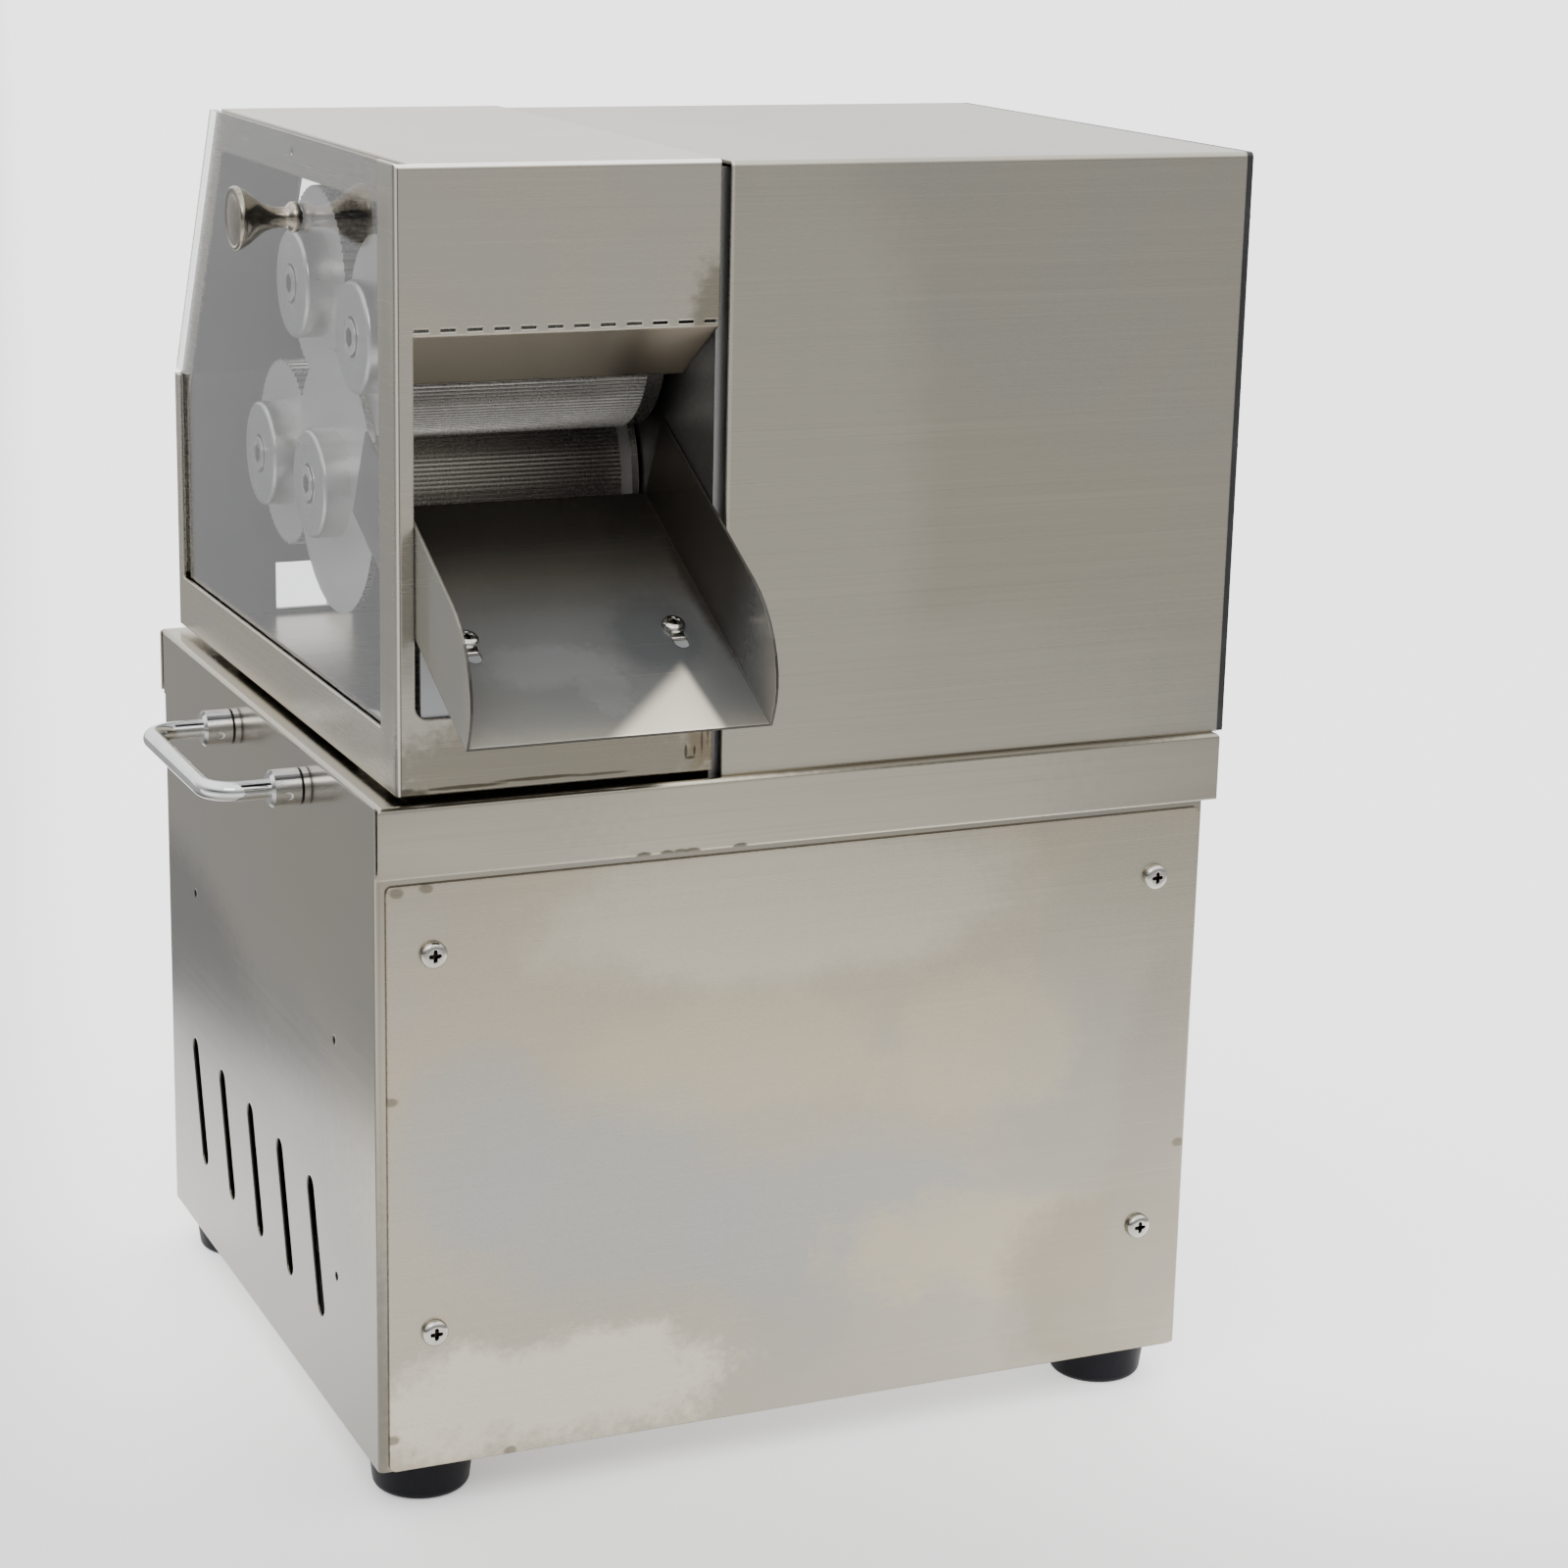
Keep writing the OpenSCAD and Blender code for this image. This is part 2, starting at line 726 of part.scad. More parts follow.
// Both ferrules of a handle on the plane X = 0
module ferrule_pair() {
    ferrule_r = ferrule_d / 2;
    bore_r = handle_bar_d / 2 + seat;
    for (y = [handle_y, handle_y + handle_span]) {
        translate([0, y, deck_top - handle_drop]) turned_left() polygon([
            [bore_r, 0], [ferrule_r, 0], [ferrule_r, ferrule_l - sheet],
            [ferrule_r - sheet, ferrule_l], [bore_r, ferrule_l]
        ]);
    }
}

// The right flange, as seen from the left side
module on_right() {
    translate([base_w + deck_side_proud, 0, 0]) mirror([1, 0, 0]) children();
}

module left_handle() {
    color(bright_steel) in_frame() bow();
}

module right_handle() {
    color(bright_steel) in_frame() on_right() bow();
}

module handle_ferrules() {
    color(bright_steel) in_frame() {
        ferrule_pair();
        on_right() ferrule_pair();
    }
}

// Press head

// Outlet in the front plate, in X and Z, open at the head's right edge
module outlet_2d() {
    outlet_w = head_end - outlet_x + over;
    outlet_h = outlet_high - outlet_low;
    translate([outlet_x, deck_top + outlet_low]) {
        translate([outlet_r, 0]) square([outlet_w - outlet_r, outlet_h]);
        translate([0, outlet_r]) square([outlet_w, outlet_h - outlet_r]);
        translate([outlet_r, outlet_r]) circle(r = outlet_r);
    }
}

module head_shell() {
    wall_h = head_top - head_z;
    rear_band = rear_channel_w + sheet;
    band_z = knee_z + (normal_y * rear_band - slope_band) / normal_z;
    band_y = head_top_d + (normal_z * top_band - slope_band) / normal_y;
    fold_z = deck_top + outlet_high;
    flap_x = outlet_x + play;
    perf_pitch = (head_end - outlet_x - perf_l) / (perf_count - 1);
    color(steel) in_frame() difference() {
        union() {
            // top, back, sloped back and front as one wrap
            translate([body_x, 0, 0]) difference() {
                along_x(head_end - body_x) polygon(head_outline(0, head_z));
                translate([-over, 0, 0]) along_x(head_end - body_x + 2 * over)
                    polygon(head_outline(sheet, head_z - over));
            }
            // flange behind the window
            translate([body_x, 0, 0]) along_x(sheet) difference() {
                polygon(head_outline(0, head_z));
                polygon([
                    [channel_w, head_z + lip_h], [head_d - rear_band, head_z + lip_h],
                    [head_d - rear_band, band_z], [band_y, head_top - top_band],
                    [channel_w, head_top - top_band]
                ]);
            }
            // channels that guide the window
            translate([head_x, 0, head_z]) cube([body_x - head_x + sheet, sheet, wall_h]);
            translate([head_x, 0, head_z]) cube([sheet, channel_w, wall_h]);
            translate([head_x, 0, head_z]) cube([body_x - head_x + sheet, head_d, sheet]);
            translate([head_x, 0, head_z]) cube([sheet, head_d, lip_h]);
            translate([head_x, head_d - sheet, head_z])
                cube([body_x - head_x + sheet, sheet, knee_z - head_z]);
            translate([head_x, head_d - rear_channel_w, head_z])
                cube([sheet, rear_channel_w, knee_z - head_z]);
        }
        translate([head_x, 0, head_z - over]) upright_fold(fold_r, 1, 1, wall_h + 2 * over);
        translate([head_x - over, 0, head_top]) along_x(head_w + 2 * over) fold_2d(fold_r, 1);
        translate([0, -over, 0]) along_y(sheet + 2 * over) outlet_2d();
        // slots along the flap's fold
        for (i = [0 : perf_count - 1]) {
            translate([outlet_x + i * perf_pitch, -over, fold_z + sheet])
                cube([perf_l, sheet + 2 * over, perf_h]);
        }
        // small hole in the flange behind the window
        translate([body_x - over, band_hole_y, head_top - band_hole_drop]) x_rod(band_hole_d, sheet + 2 * over);
        // juice outlet and feed opening
        translate([head_x + juice_x, head_d - sheet - over, head_z + juice_sill])
            cube([juice_w, sheet + 2 * over, juice_h]);
        on_slope() translate([-hopper_w / 2 - sheet - play, -sheet - over, -hopper_in_h / 2 - sheet - play])
            cube([hopper_w + 2 * sheet + 2 * play, sheet + 2 * over, hopper_in_h + 2 * sheet + 2 * play]);
    }
    // folded flap over the outlet
    color(steel) in_frame() translate([0, 0, fold_z]) rotate([flap_lean, 0, 0]) along_y(sheet) polygon([
        [flap_x, 0], [head_end - play, 0], [head_end - flap_taper, -flap_l], [flap_x, -flap_l]
    ]);
}

module chamber_floor() {
    floor_x = body_x + sheet + play;
    floor_y = sheet + play;
    floor_d = head_d - 2 * floor_y;
    color(steel) in_frame() {
        translate([floor_x, floor_y, head_z]) cube([plate_x - floor_x, floor_d, sheet]);
        for (y = [rail_w, head_d - 2 * rail_w]) {
            translate([floor_x, y, deck_top]) cube([plate_x - floor_x, rail_w, head_gap]);
        }
    }
}

module feed_hopper() {
    tube_w = hopper_w + 2 * sheet;
    tube_h = hopper_in_h + 2 * sheet;
    color(steel) in_frame() on_slope() difference() {
        union() {
            translate([-tube_w / 2, -sheet, -tube_h / 2]) cube([tube_w, hopper_l + sheet, tube_h]);
            translate([-tube_w / 2 - hopper_rim, 0, -tube_h / 2 - hopper_rim])
                cube([tube_w + 2 * hopper_rim, sheet, tube_h + 2 * hopper_rim]);
        }
        translate([-hopper_w / 2, -sheet - over, -hopper_in_h / 2])
            cube([hopper_w, hopper_l + sheet + 2 * over, hopper_in_h]);
    }
}

module juice_spout() {
    color(steel) in_frame() translate([head_x + juice_x, head_d, head_z + juice_sill]) {
        difference() {
            translate([-spout_rim, 0, -juice_sill])
                cube([juice_w + 2 * spout_rim, sheet, juice_sill + juice_h + spout_rim]);
            translate([0, -over, 0]) cube([juice_w, sheet + 2 * over, juice_h]);
        }
        difference() {
            rotate([-spout_slope, 0, 0]) difference() {
                translate([-sheet, 0, -sheet]) cube([juice_w + 2 * sheet, spout_l, juice_h]);
                translate([0, -over, 0]) cube([juice_w, spout_l + 2 * over, juice_h + over]);
            }
            translate([-spout_rim, -spout_l, -spout_l]) cube([juice_w + 2 * spout_rim, spout_l, 2 * spout_l]);
        }
    }
}

module discharge_chute() {
    chute_x = outlet_x + play;
    chute_w = head_end - play - chute_x;
    round_end = [for (a = [0 : 10 : 90])
        [chute_curve - chute_reach - chute_curve * sin(a), chute_lip + curve_h * cos(a)]];
    inner_end = [[chute_depth, -chute_t], [chute_depth, chute_wall_h]];
    wall = concat(inner_end, round_end, [[-chute_reach, -chute_t]]);
    color(steel) in_frame() on_chute() difference() {
        union() {
            translate([chute_x, -chute_reach, -chute_t]) cube([chute_w, chute_reach + chute_depth, chute_t]);
            for (x = [chute_x, chute_x + chute_w - chute_t]) {
                translate([x, 0, 0]) along_x(chute_t) polygon(wall);
            }
        }
        for (x = [outlet_x + chute_screw_in, head_end - chute_screw_in]) {
            translate([x, chute_screw_v - (chute_slot_l - chute_slot_w) / 2, -chute_t - over])
                linear_extrude(chute_t + 2 * over) slot_2d(chute_slot_w, chute_slot_l);
        }
    }
}

module chute_bracket() {
    bracket_x = outlet_x + bracket_side;
    bracket_w = head_end - bracket_side - bracket_x;
    ledge_z = -chute_t - play - sheet;
    plate_low = deck_top + bracket_low;
    plate_rise = (sheet + play) * tan(chute_slope) + (ledge_z + sheet / 2) / cos(chute_slope);
    plate_high = deck_top + chute_h + plate_rise;
    color(steel) in_frame() {
        on_chute() difference() {
            translate([bracket_x, -ledge_out, ledge_z]) cube([bracket_w, ledge_out + ledge_in, sheet]);
            at_chute_screws() translate([0, 0, ledge_z - over])
                cylinder(d = screw_d + play, h = sheet + 2 * over);
        }
        translate([bracket_x, sheet + play, plate_low]) cube([bracket_w, sheet, plate_high - plate_low]);
    }
}

// Places of the two chute screws, on the chute's floor
module at_chute_screws() {
    for (x = [outlet_x + chute_screw_in, head_end - chute_screw_in]) {
        translate([x, chute_screw_v, 0]) children();
    }
}

module chute_screws() {
    color(bright_steel) in_frame() on_chute() at_chute_screws() rotate([-90, 0, 0])
        pan_screw(chute_screw_l);
}

module window_panel() {
    low = head_z + sheet + play;
    high = head_top - window_air;
    front = sheet + 2 * window_air;
    back = head_d - sheet - window_air;
    step = knee_z + window_air;
    out_step = head_d + window_overhang / normal_y - window_air * slope_run / slope_rise;
    out_top = head_d + window_overhang / normal_y - (high - knee_z) * slope_run / slope_rise;
    color(clear) in_frame() difference() {
        translate([window_x, 0, 0]) along_x(window_t) polygon([
            [front, low], [back, low], [back, step], [out_step, step], [out_top, high], [front, high]
        ]);
        translate([window_x - over, knob_y, deck_top + knob_h])
            x_rod(knob_screw_d + 2 * seat, window_t + 2 * over);
        translate([window_back - knob_screw_head_h, knob_y, deck_top + knob_h]) rotate([0, 90, 0])
            cylinder(d1 = knob_screw_d + 2 * seat, d2 = knob_screw_head_d + 2 * seat, h = knob_screw_head_h);
    }
}

module window_knob() {
    outline = [for (s = knob_shares) [s[1] * knob_d / 2, s[0] * knob_l]];
    place = [window_x, knob_y, deck_top + knob_h];
    color(bright_steel) in_frame() translate(place) turned_left() difference() {
        polygon(concat([[0, 0]], outline, [[0, knob_l]]));
        square([knob_screw_d / 2 + seat, knob_screw_l + play]);
    }
}

module knob_screw() {
    color(bright_steel) in_frame() translate([window_back, knob_y, deck_top + knob_h]) turned_left() polygon([
        [0, 0], [knob_screw_head_d / 2, 0], [knob_screw_d / 2, knob_screw_head_h],
        [knob_screw_d / 2, window_t + knob_screw_l], [0, window_t + knob_screw_l]
    ]);
}

// Roller drive

module chamber_plate() {
    color(dark_steel) in_frame() difference() {
        translate([plate_x, 0, 0]) along_x(plate_t) polygon(head_outline(plate_top_gap, deck_top));
        at_bearings() translate([plate_x - over, 0, 0]) x_rod(bearing_d + 2 * seat, plate_t + 2 * over);
        at_bracket() translate([plate_x - over, 0, bracket_leg / 2])
            x_rod(bolt_d + 2 * seat, plate_t + 2 * over);
    }
}

// Places of the four shaft axes
module at_bearings() {
    for (p = axes) {
        translate([0, p[0], p[1]]) children();
    }
}

// Places of the three bolts along the bracket's foot
module at_bracket() {
    for (y = [bracket_bolt_in, bracket_l / 2, bracket_l - bracket_bolt_in]) {
        translate([0, bracket_y + y, deck_top]) children();
    }
}

// Places of the four pillars
module at_pillars() {
    for (p = pillars) {
        translate([0, p[0], deck_top + p[1]]) children();
    }
}

// Places of the reducer's bolts round the main axis
module at_reducer_bolts() {
    for (a = [reducer_turn : 120 : reducer_turn + 240]) {
        spot = main_axis + reducer_bolt_r * [cos(a), sin(a)];
        translate([0, spot[0], spot[1]]) children();
    }
}

module outer_plate() {
    color(dark_steel) in_frame() difference() {
        translate([outer_x, 0, 0]) along_x(plate_t) intersection() {
            translate([outer_y, deck_top + outer_low]) round_rect(outer_w, outer_h, outer_r);
            polygon(head_outline(2 * plate_top_gap, deck_top));
        }
        at_bearings() translate([outer_x - over, 0, 0]) x_rod(bearing_d + 2 * seat, plate_t + 2 * over);
        at_pillars() translate([outer_x - over, 0, 0]) x_rod(bolt_d + 2 * seat, plate_t + 2 * over);
        at_reducer_bolts() translate([outer_x - over, 0, 0]) x_rod(bolt_d + 2 * seat, plate_t + 2 * over);
    }
}

module plate_pillars() {
    color(bright_steel) in_frame() at_pillars() translate([plate_end, 0, 0]) difference() {
        x_rod(pillar_d, outer_x - plate_end);
        translate([outer_x - plate_end - pillar_d, 0, 0]) x_rod(bolt_d + 2 * seat, pillar_d + over);
    }
}

module pillar_bolts() {
    color(bright_steel) in_frame() at_pillars() translate([outer_end, 0, 0]) mirror([1, 0, 0])
        hex_bolt(plate_t + pillar_d - over);
}

module plate_bracket() {
    color(dark_steel) in_frame() difference() {
        translate([plate_end, bracket_y, deck_top]) union() {
            cube([bracket_t, bracket_l, bracket_leg]);
            cube([bracket_leg, bracket_l, bracket_t]);
        }
        at_bracket() translate([plate_end - over, 0, bracket_leg / 2])
            x_rod(bolt_d + 2 * seat, bracket_t + 2 * over);
        at_bracket() translate([bracket_hole_x, 0, -over])
            cylinder(d = bolt_d + 2 * seat, h = bracket_t + 2 * over);
    }
}

module bracket_bolts() {
    color(bright_steel) in_frame() at_bracket() {
        translate([plate_end + bracket_t, 0, bracket_leg / 2]) mirror([1, 0, 0])
            hex_bolt(bracket_t + plate_t);
        translate([bracket_hole_x, 0, bracket_t]) rotate([0, 90, 0])
            hex_bolt(bracket_t + bolt_d);
    }
}

module shaft_bearings() {
    outer_r_b = bearing_d / 2;
    inner_r_b = shaft_d / 2 + run;
    color(bright_steel) in_frame() for (x = [plate_x, outer_x]) {
        at_bearings() translate([x + plate_t, 0, 0]) turned_left() polygon([
            [inner_r_b, 0], [inner_r_b + bearing_race, 0], [inner_r_b + bearing_race, bearing_groove],
            [outer_r_b - bearing_race, bearing_groove], [outer_r_b - bearing_race, 0], [outer_r_b, 0],
            [outer_r_b, plate_t], [outer_r_b - bearing_race, plate_t],
            [outer_r_b - bearing_race, plate_t - bearing_groove],
            [inner_r_b + bearing_race, plate_t - bearing_groove], [inner_r_b + bearing_race, plate_t],
            [inner_r_b, plate_t]
        ]);
    }
}

// Shaft of length l whose left end is tapped for a cap bolt
module roller_shaft(l) {
    difference() {
        x_rod(shaft_d, l);
        translate([-over, 0, 0]) x_rod(cap_bolt_d + 2 * seat, cap_bolt_l + over);
    }
}

// Cross-section of a roller with flat-topped teeth along its length
module grooved_2d(d, count, depth) {
    step = 360 / count;
    crest = groove_flat_share * step / 2;
    polygon([for (i = [0 : count - 1], p = [[-crest, d / 2], [crest, d / 2], [step / 2, d / 2 - depth]])
        p[1] * [cos(i * step + p[0]), sin(i * step + p[0])]]);
}

// Outer roller, its plain end at the chamber plate
module outer_roller(count, depth) {
    difference() {
        union() {
            along_x(roller_l - plain_end) grooved_2d(roller_d, count, depth);
            translate([roller_l - plain_end, 0, 0]) x_rod(roller_d - 2 * depth - 2 * play, plain_end);
        }
        translate([-over, 0, 0]) x_rod(shaft_d + 2 * seat, roller_l + 2 * over);
    }
}

// End cap whose outer face looks left, its inner face at the origin
module end_cap() {
    outer = cap_d / 2;
    round_edge = [for (a = [0 : 15 : 90])
        [outer - cap_edge_r + cap_edge_r * cos(a), cap_l - cap_edge_r + cap_edge_r * sin(a)]];
    bore = cap_bolt_d / 2 + seat;
    turned_left() polygon(concat([[bore, 0], [outer, 0]], round_edge, [
        [cap_recess_d / 2, cap_l], [cap_recess_d / 2, cap_l - cap_recess_h], [bore, cap_l - cap_recess_h]
    ]));
}

// Socket-head bolt of a cap, from the plane where the cap meets the roller
module cap_bolt() {
    seat_x = cap_recess_h - cap_l;
    difference() {
        union() {
            translate([seat_x - cap_bolt_head_h, 0, 0]) x_rod(cap_bolt_head_d, cap_bolt_head_h);
            translate([seat_x - over, 0, 0]) x_rod(cap_bolt_d, cap_bolt_l - seat_x);
        }
        translate([seat_x - cap_bolt_head_h - over, 0, 0]) rotate([0, 90, 0])
            cylinder(d = cap_socket_d, h = cap_socket_h + over, $fn = 6);
    }
}

// Involute gear in Y and Z with a tooth on its first axis
function involute(a) = tan(a) - a * PI / 180;

module gear_2d() {
    pitch_r = axis_gap / 2;
    base_r = pitch_r * cos(pressure_angle);
    root_r = max(base_r, pitch_r - gear_root_share * gear_module);
    tip_r = pitch_r + gear_module;
    half = 90 / gear_teeth - gear_backlash / 2 / pitch_r * 90 / PI;
    flank = [for (r = [root_r, pitch_r, tip_r])
        [r, half + (involute(pressure_angle) - involute(acos(base_r / r))) * 180 / PI]];
    tooth = concat([for (f = flank) [f[0], -f[1]]], [for (i = [len(flank) - 1 : -1 : 0]) flank[i]]);
    step = 360 / gear_teeth;
    polygon([for (i = [0 : gear_teeth - 1], p = tooth) p[0] * [cos(i * step + p[1]), sin(i * step + p[1])]]);
}

// Gear of width w, turned by angle a
module gear(w, a) {
    difference() {
        along_x(w) rotate(a) gear_2d();
        translate([-over, 0, 0]) x_rod(shaft_d + 2 * seat, w + 2 * over);
    }
}

// Turn that puts a gear in mesh with the main gear in the direction t
function mesh_turn(t) = 2 * t + 180 + 180 / gear_teeth;

module at_axis(x, p) {
    translate([x, p[0], p[1]]) children();
}

module main_shaft() {
    color(bright_steel) in_frame() at_axis(disc_x, main_axis)
        roller_shaft(outer_end + reducer_bore_l - over - disc_x);
}

module main_roller() {
    color(bright_steel) in_frame() at_axis(disc_x, main_axis) difference() {
        union() {
            x_rod(disc_d, disc_t);
            translate([disc_t, 0, 0]) along_x(roller_end + play - disc_x - disc_t)
                grooved_2d(main_roller_d, fine_grooves, groove_depth_fine);
            translate([roller_end + play - disc_x, 0, 0]) x_rod(disc_d, disc_t);
        }
        translate([-over, 0, 0]) x_rod(shaft_d + 2 * seat, plate_x - disc_x + over);
    }
}

module main_cap() {
    color(bright_steel) in_frame() at_axis(disc_x, main_axis) end_cap();
}

module main_cap_bolt() {
    color(dark_steel) in_frame() at_axis(disc_x, main_axis) cap_bolt();
}

module main_gear() {
    color(dark_steel) in_frame() at_axis(gear_a_x, main_axis) gear(gear_b_x + gear_w - gear_a_x, 0);
}

module top_shaft() {
    color(bright_steel) in_frame() at_axis(roller_x, top_axis) roller_shaft(outer_end - over - roller_x);
}

module top_roller() {
    color(bright_steel) in_frame() at_axis(roller_x, top_axis)
        outer_roller(coarse_grooves, groove_depth_coarse);
}

module top_cap() {
    color(bright_steel) in_frame() at_axis(roller_x, top_axis) end_cap();
}

module top_cap_bolt() {
    color(dark_steel) in_frame() at_axis(roller_x, top_axis) cap_bolt();
}

module top_gear() {
    color(dark_steel) in_frame() at_axis(gear_a_x, top_axis) gear(gear_w, mesh_turn(top_angle));
}

module front_shaft() {
    color(bright_steel) in_frame() at_axis(roller_x, front_axis) roller_shaft(outer_end - over - roller_x);
}

module front_roller() {
    color(bright_steel) in_frame() at_axis(roller_x, front_axis)
        outer_roller(fine_grooves, groove_depth_fine);
}

module front_cap() {
    color(bright_steel) in_frame() at_axis(roller_x, front_axis) end_cap();
}

module front_cap_bolt() {
    color(dark_steel) in_frame() at_axis(roller_x, front_axis) cap_bolt();
}

module front_gear() {
    color(dark_steel) in_frame() at_axis(gear_b_x, front_axis) gear(gear_w, mesh_turn(front_angle));
}

module rear_shaft() {
    color(bright_steel) in_frame() at_axis(roller_x, rear_axis) roller_shaft(outer_end - over - roller_x);
}

module rear_roller() {
    color(bright_steel) in_frame() at_axis(roller_x, rear_axis)
        outer_roller(coarse_grooves, groove_depth_coarse);
}

module rear_cap() {
    color(bright_steel) in_frame() at_axis(roller_x, rear_axis) end_cap();
}

module rear_cap_bolt() {
    color(dark_steel) in_frame() at_axis(roller_x, rear_axis) cap_bolt();
}

module rear_gear() {
    color(dark_steel) in_frame() at_axis(gear_a_x, rear_axis) gear(gear_w, mesh_turn(rear_angle));
}

module reducer() {
    color(cast) in_frame() at_axis(outer_end, main_axis) difference() {
        union() {
            x_rod(reducer_flange_d, reducer_flange_t);
            x_rod(reducer_d, reducer_flange_t + reducer_l);
            for (s = reducer_rib_shares) {
                translate([reducer_flange_t + s * reducer_l, 0, 0])
                    x_rod(reducer_d + 2 * reducer_rib, reducer_rib);
            }
        }
        translate([-over, 0, 0]) x_rod(shaft_d + 2 * run, reducer_bore_l + over);
        translate([-over, -main_axis[0], -main_axis[1]]) at_reducer_bolts()
            x_rod(bolt_d + 2 * seat, reducer_flange_t + 2 * over);
    }
}

module reducer_bolts() {
    color(bright_steel) in_frame() at_reducer_bolts() translate([outer_end + reducer_flange_t, 0, 0])
        mirror([1, 0, 0]) hex_bolt(reducer_flange_t + plate_t);
}

module motor() {
    color(cast) in_frame() at_axis(outer_end + reducer_flange_t + reducer_l, main_axis) {
        x_rod(motor_d, motor_l);
        translate([motor_l, 0, 0]) x_rod(motor_d - 2 * motor_bell_inset, motor_bell);
        translate([motor_l / 2, -terminal[1] / 2, 0])
            cube([terminal[0], terminal[1], motor_d / 2 + terminal[2]]);
    }
}

// Motor housing

module motor_cover() {
    color(steel) in_frame() difference() {
        union() {
            // front, top, sloped back and back as one wrap
            translate([cover_x, 0, 0]) difference() {
                along_x(cover_w) polygon(cover_outline(0, deck_top));
                translate([-over, 0, 0]) along_x(cover_w + 2 * over)
                    polygon(cover_outline(sheet, deck_top - over));
            }
            // frame that takes the end panel
            translate([cover_end - sheet, 0, 0]) along_x(sheet) difference() {
                polygon(cover_outline(0, deck_top));
                polygon(cover_outline(cover_return, deck_top + cover_return));
            }
        }
        translate([cover_x - over, -cover_proud, cover_top]) along_x(cover_w + 2 * over) fold_2d(fold_r, 1);
        at_switch() translate([-box_w / 2 - seat, -sheet - over, -box_tall / 2 - seat])
            cube([box_w + 2 * seat, sheet + 2 * over, box_tall + 2 * seat]);
        at_inlet() translate([0, -sheet - over, 0]) y_rod(inlet_d + 2 * seat, sheet + 2 * over);
        at_end_screws() rotate([0, 0, 90]) y_rod(screw_d + 2 * seat, end_panel_t + screw_l + over);
    }
}

module at_switch() {
    translate([cover_end - switch_in, head_d, deck_top + switch_z]) children();
}

module at_inlet() {
    translate([cover_end - inlet_in, head_d, deck_top + inlet_z]) children();
}

// Places of the end panel's screws on its outer face
module at_end_screws() {
    for (z = [deck_top + end_screw_low, (deck_top + cover_top) / 2, cover_top - end_screw_high]) {
        for (y = [end_screw_in - cover_proud, back_at(z) - end_screw_in / normal_y]) {
            translate([cover_end + end_panel_t, y, z]) children();
        }
    }
}

module end_panel() {
    color(black) in_frame() difference() {
        translate([cover_end, 0, 0]) along_x(end_panel_t) polygon(cover_outline(0, deck_top + play));
        translate([cover_end - over, -cover_proud, cover_top]) along_x(end_panel_t + 2 * over) fold_2d(fold_r, 1);
        at_end_screws() translate([over, 0, 0]) rotate([0, 0, 90])
            y_rod(screw_d + 2 * seat, end_panel_t + 2 * over);
    }
}

module end_panel_screws() {
    color(bright_steel) in_frame() at_end_screws() rotate([0, 0, 90]) pan_screw(screw_l);
}

module switch_body() {
    recess_w = box_w - 2 * switch_wall;
    recess_tall = box_tall - 2 * switch_wall;
    color(black) in_frame() at_switch() difference() {
        union() {
            translate([-switch_w / 2, 0, -switch_tall / 2]) cube([switch_w, switch_rim_t, switch_tall]);
            translate([-box_w / 2, -switch_deep, -box_tall / 2]) cube([box_w, switch_deep + over, box_tall]);
        }
        translate([-recess_w / 2, -rocker_pivot - rocker_room, -recess_tall / 2])
            cube([recess_w, rocker_pivot + rocker_room + switch_rim_t + over, recess_tall]);
        translate([-recess_w / 2 - rocker_pin_in - play, -rocker_pivot, 0])
            x_rod(rocker_pin_d + 2 * run, recess_w + 2 * rocker_pin_in + 2 * play);
    }
}

module switch_rocker() {
    rocker_w = box_w - 2 * switch_wall - 2 * switch_gap;
    rocker_d = box_tall - 2 * switch_wall - 2 * switch_gap;
    pin_l = rocker_w + 2 * switch_gap + 2 * rocker_pin_in;
    color(black) in_frame() at_switch() translate([0, -rocker_pivot, 0]) {
        intersection() {
            translate([-rocker_w / 2, 0, 0]) along_x(rocker_w) polygon([
                [-rocker_base, -rocker_d], [rocker_lift + rocker_ridge, -rocker_d],
                [rocker_lift - rocker_ridge, 0], [rocker_lift + rocker_ridge, rocker_d],
                [-rocker_base, rocker_d]
            ]);
            translate([-rocker_w, 0, 0]) x_rod(rocker_d, 2 * rocker_w);
        }
        translate([-pin_l / 2, 0, 0]) x_rod(rocker_pin_d, pin_l);
    }
}

module power_inlet() {
    color(black) in_frame() at_inlet() {
        difference() {
            union() {
                translate([0, -inlet_deep, 0]) y_rod(inlet_d, inlet_deep + inlet_stand);
                y_rod(inlet_rim_d, inlet_rim_t);
            }
            translate([0, inlet_stand - inlet_bore_l, 0]) y_rod(inlet_bore_d, inlet_bore_l + over);
        }
        for (s = [-1, 1]) {
            translate([s * inlet_pin_pitch / 2, inlet_stand - inlet_bore_l - over, 0])
                y_rod(inlet_pin_d, inlet_pin_l + over);
        }
    }
}

// Drawing

base_shell();
base_floor();
front_panel();
rear_panel();
panel_screws();
rubber_feet();
foot_bolts();
control_unit();
left_handle();
right_handle();
handle_ferrules();
head_shell();
chamber_floor();
feed_hopper();
juice_spout();
discharge_chute();
chute_bracket();
chute_screws();
window_panel();
window_knob();
knob_screw();
chamber_plate();
outer_plate();
plate_pillars();
pillar_bolts();
plate_bracket();
bracket_bolts();
shaft_bearings();
main_shaft();
main_roller();
main_cap();
main_cap_bolt();
main_gear();
top_shaft();
top_roller();
top_cap();
top_cap_bolt();
top_gear();
front_shaft();
front_roller();
front_cap();
front_cap_bolt();
front_gear();
rear_shaft();
rear_roller();
rear_cap();
rear_cap_bolt();
rear_gear();
reducer();
motor();
reducer_bolts();
motor_cover();
end_panel();
end_panel_screws();
switch_body();
switch_rocker();
power_inlet();
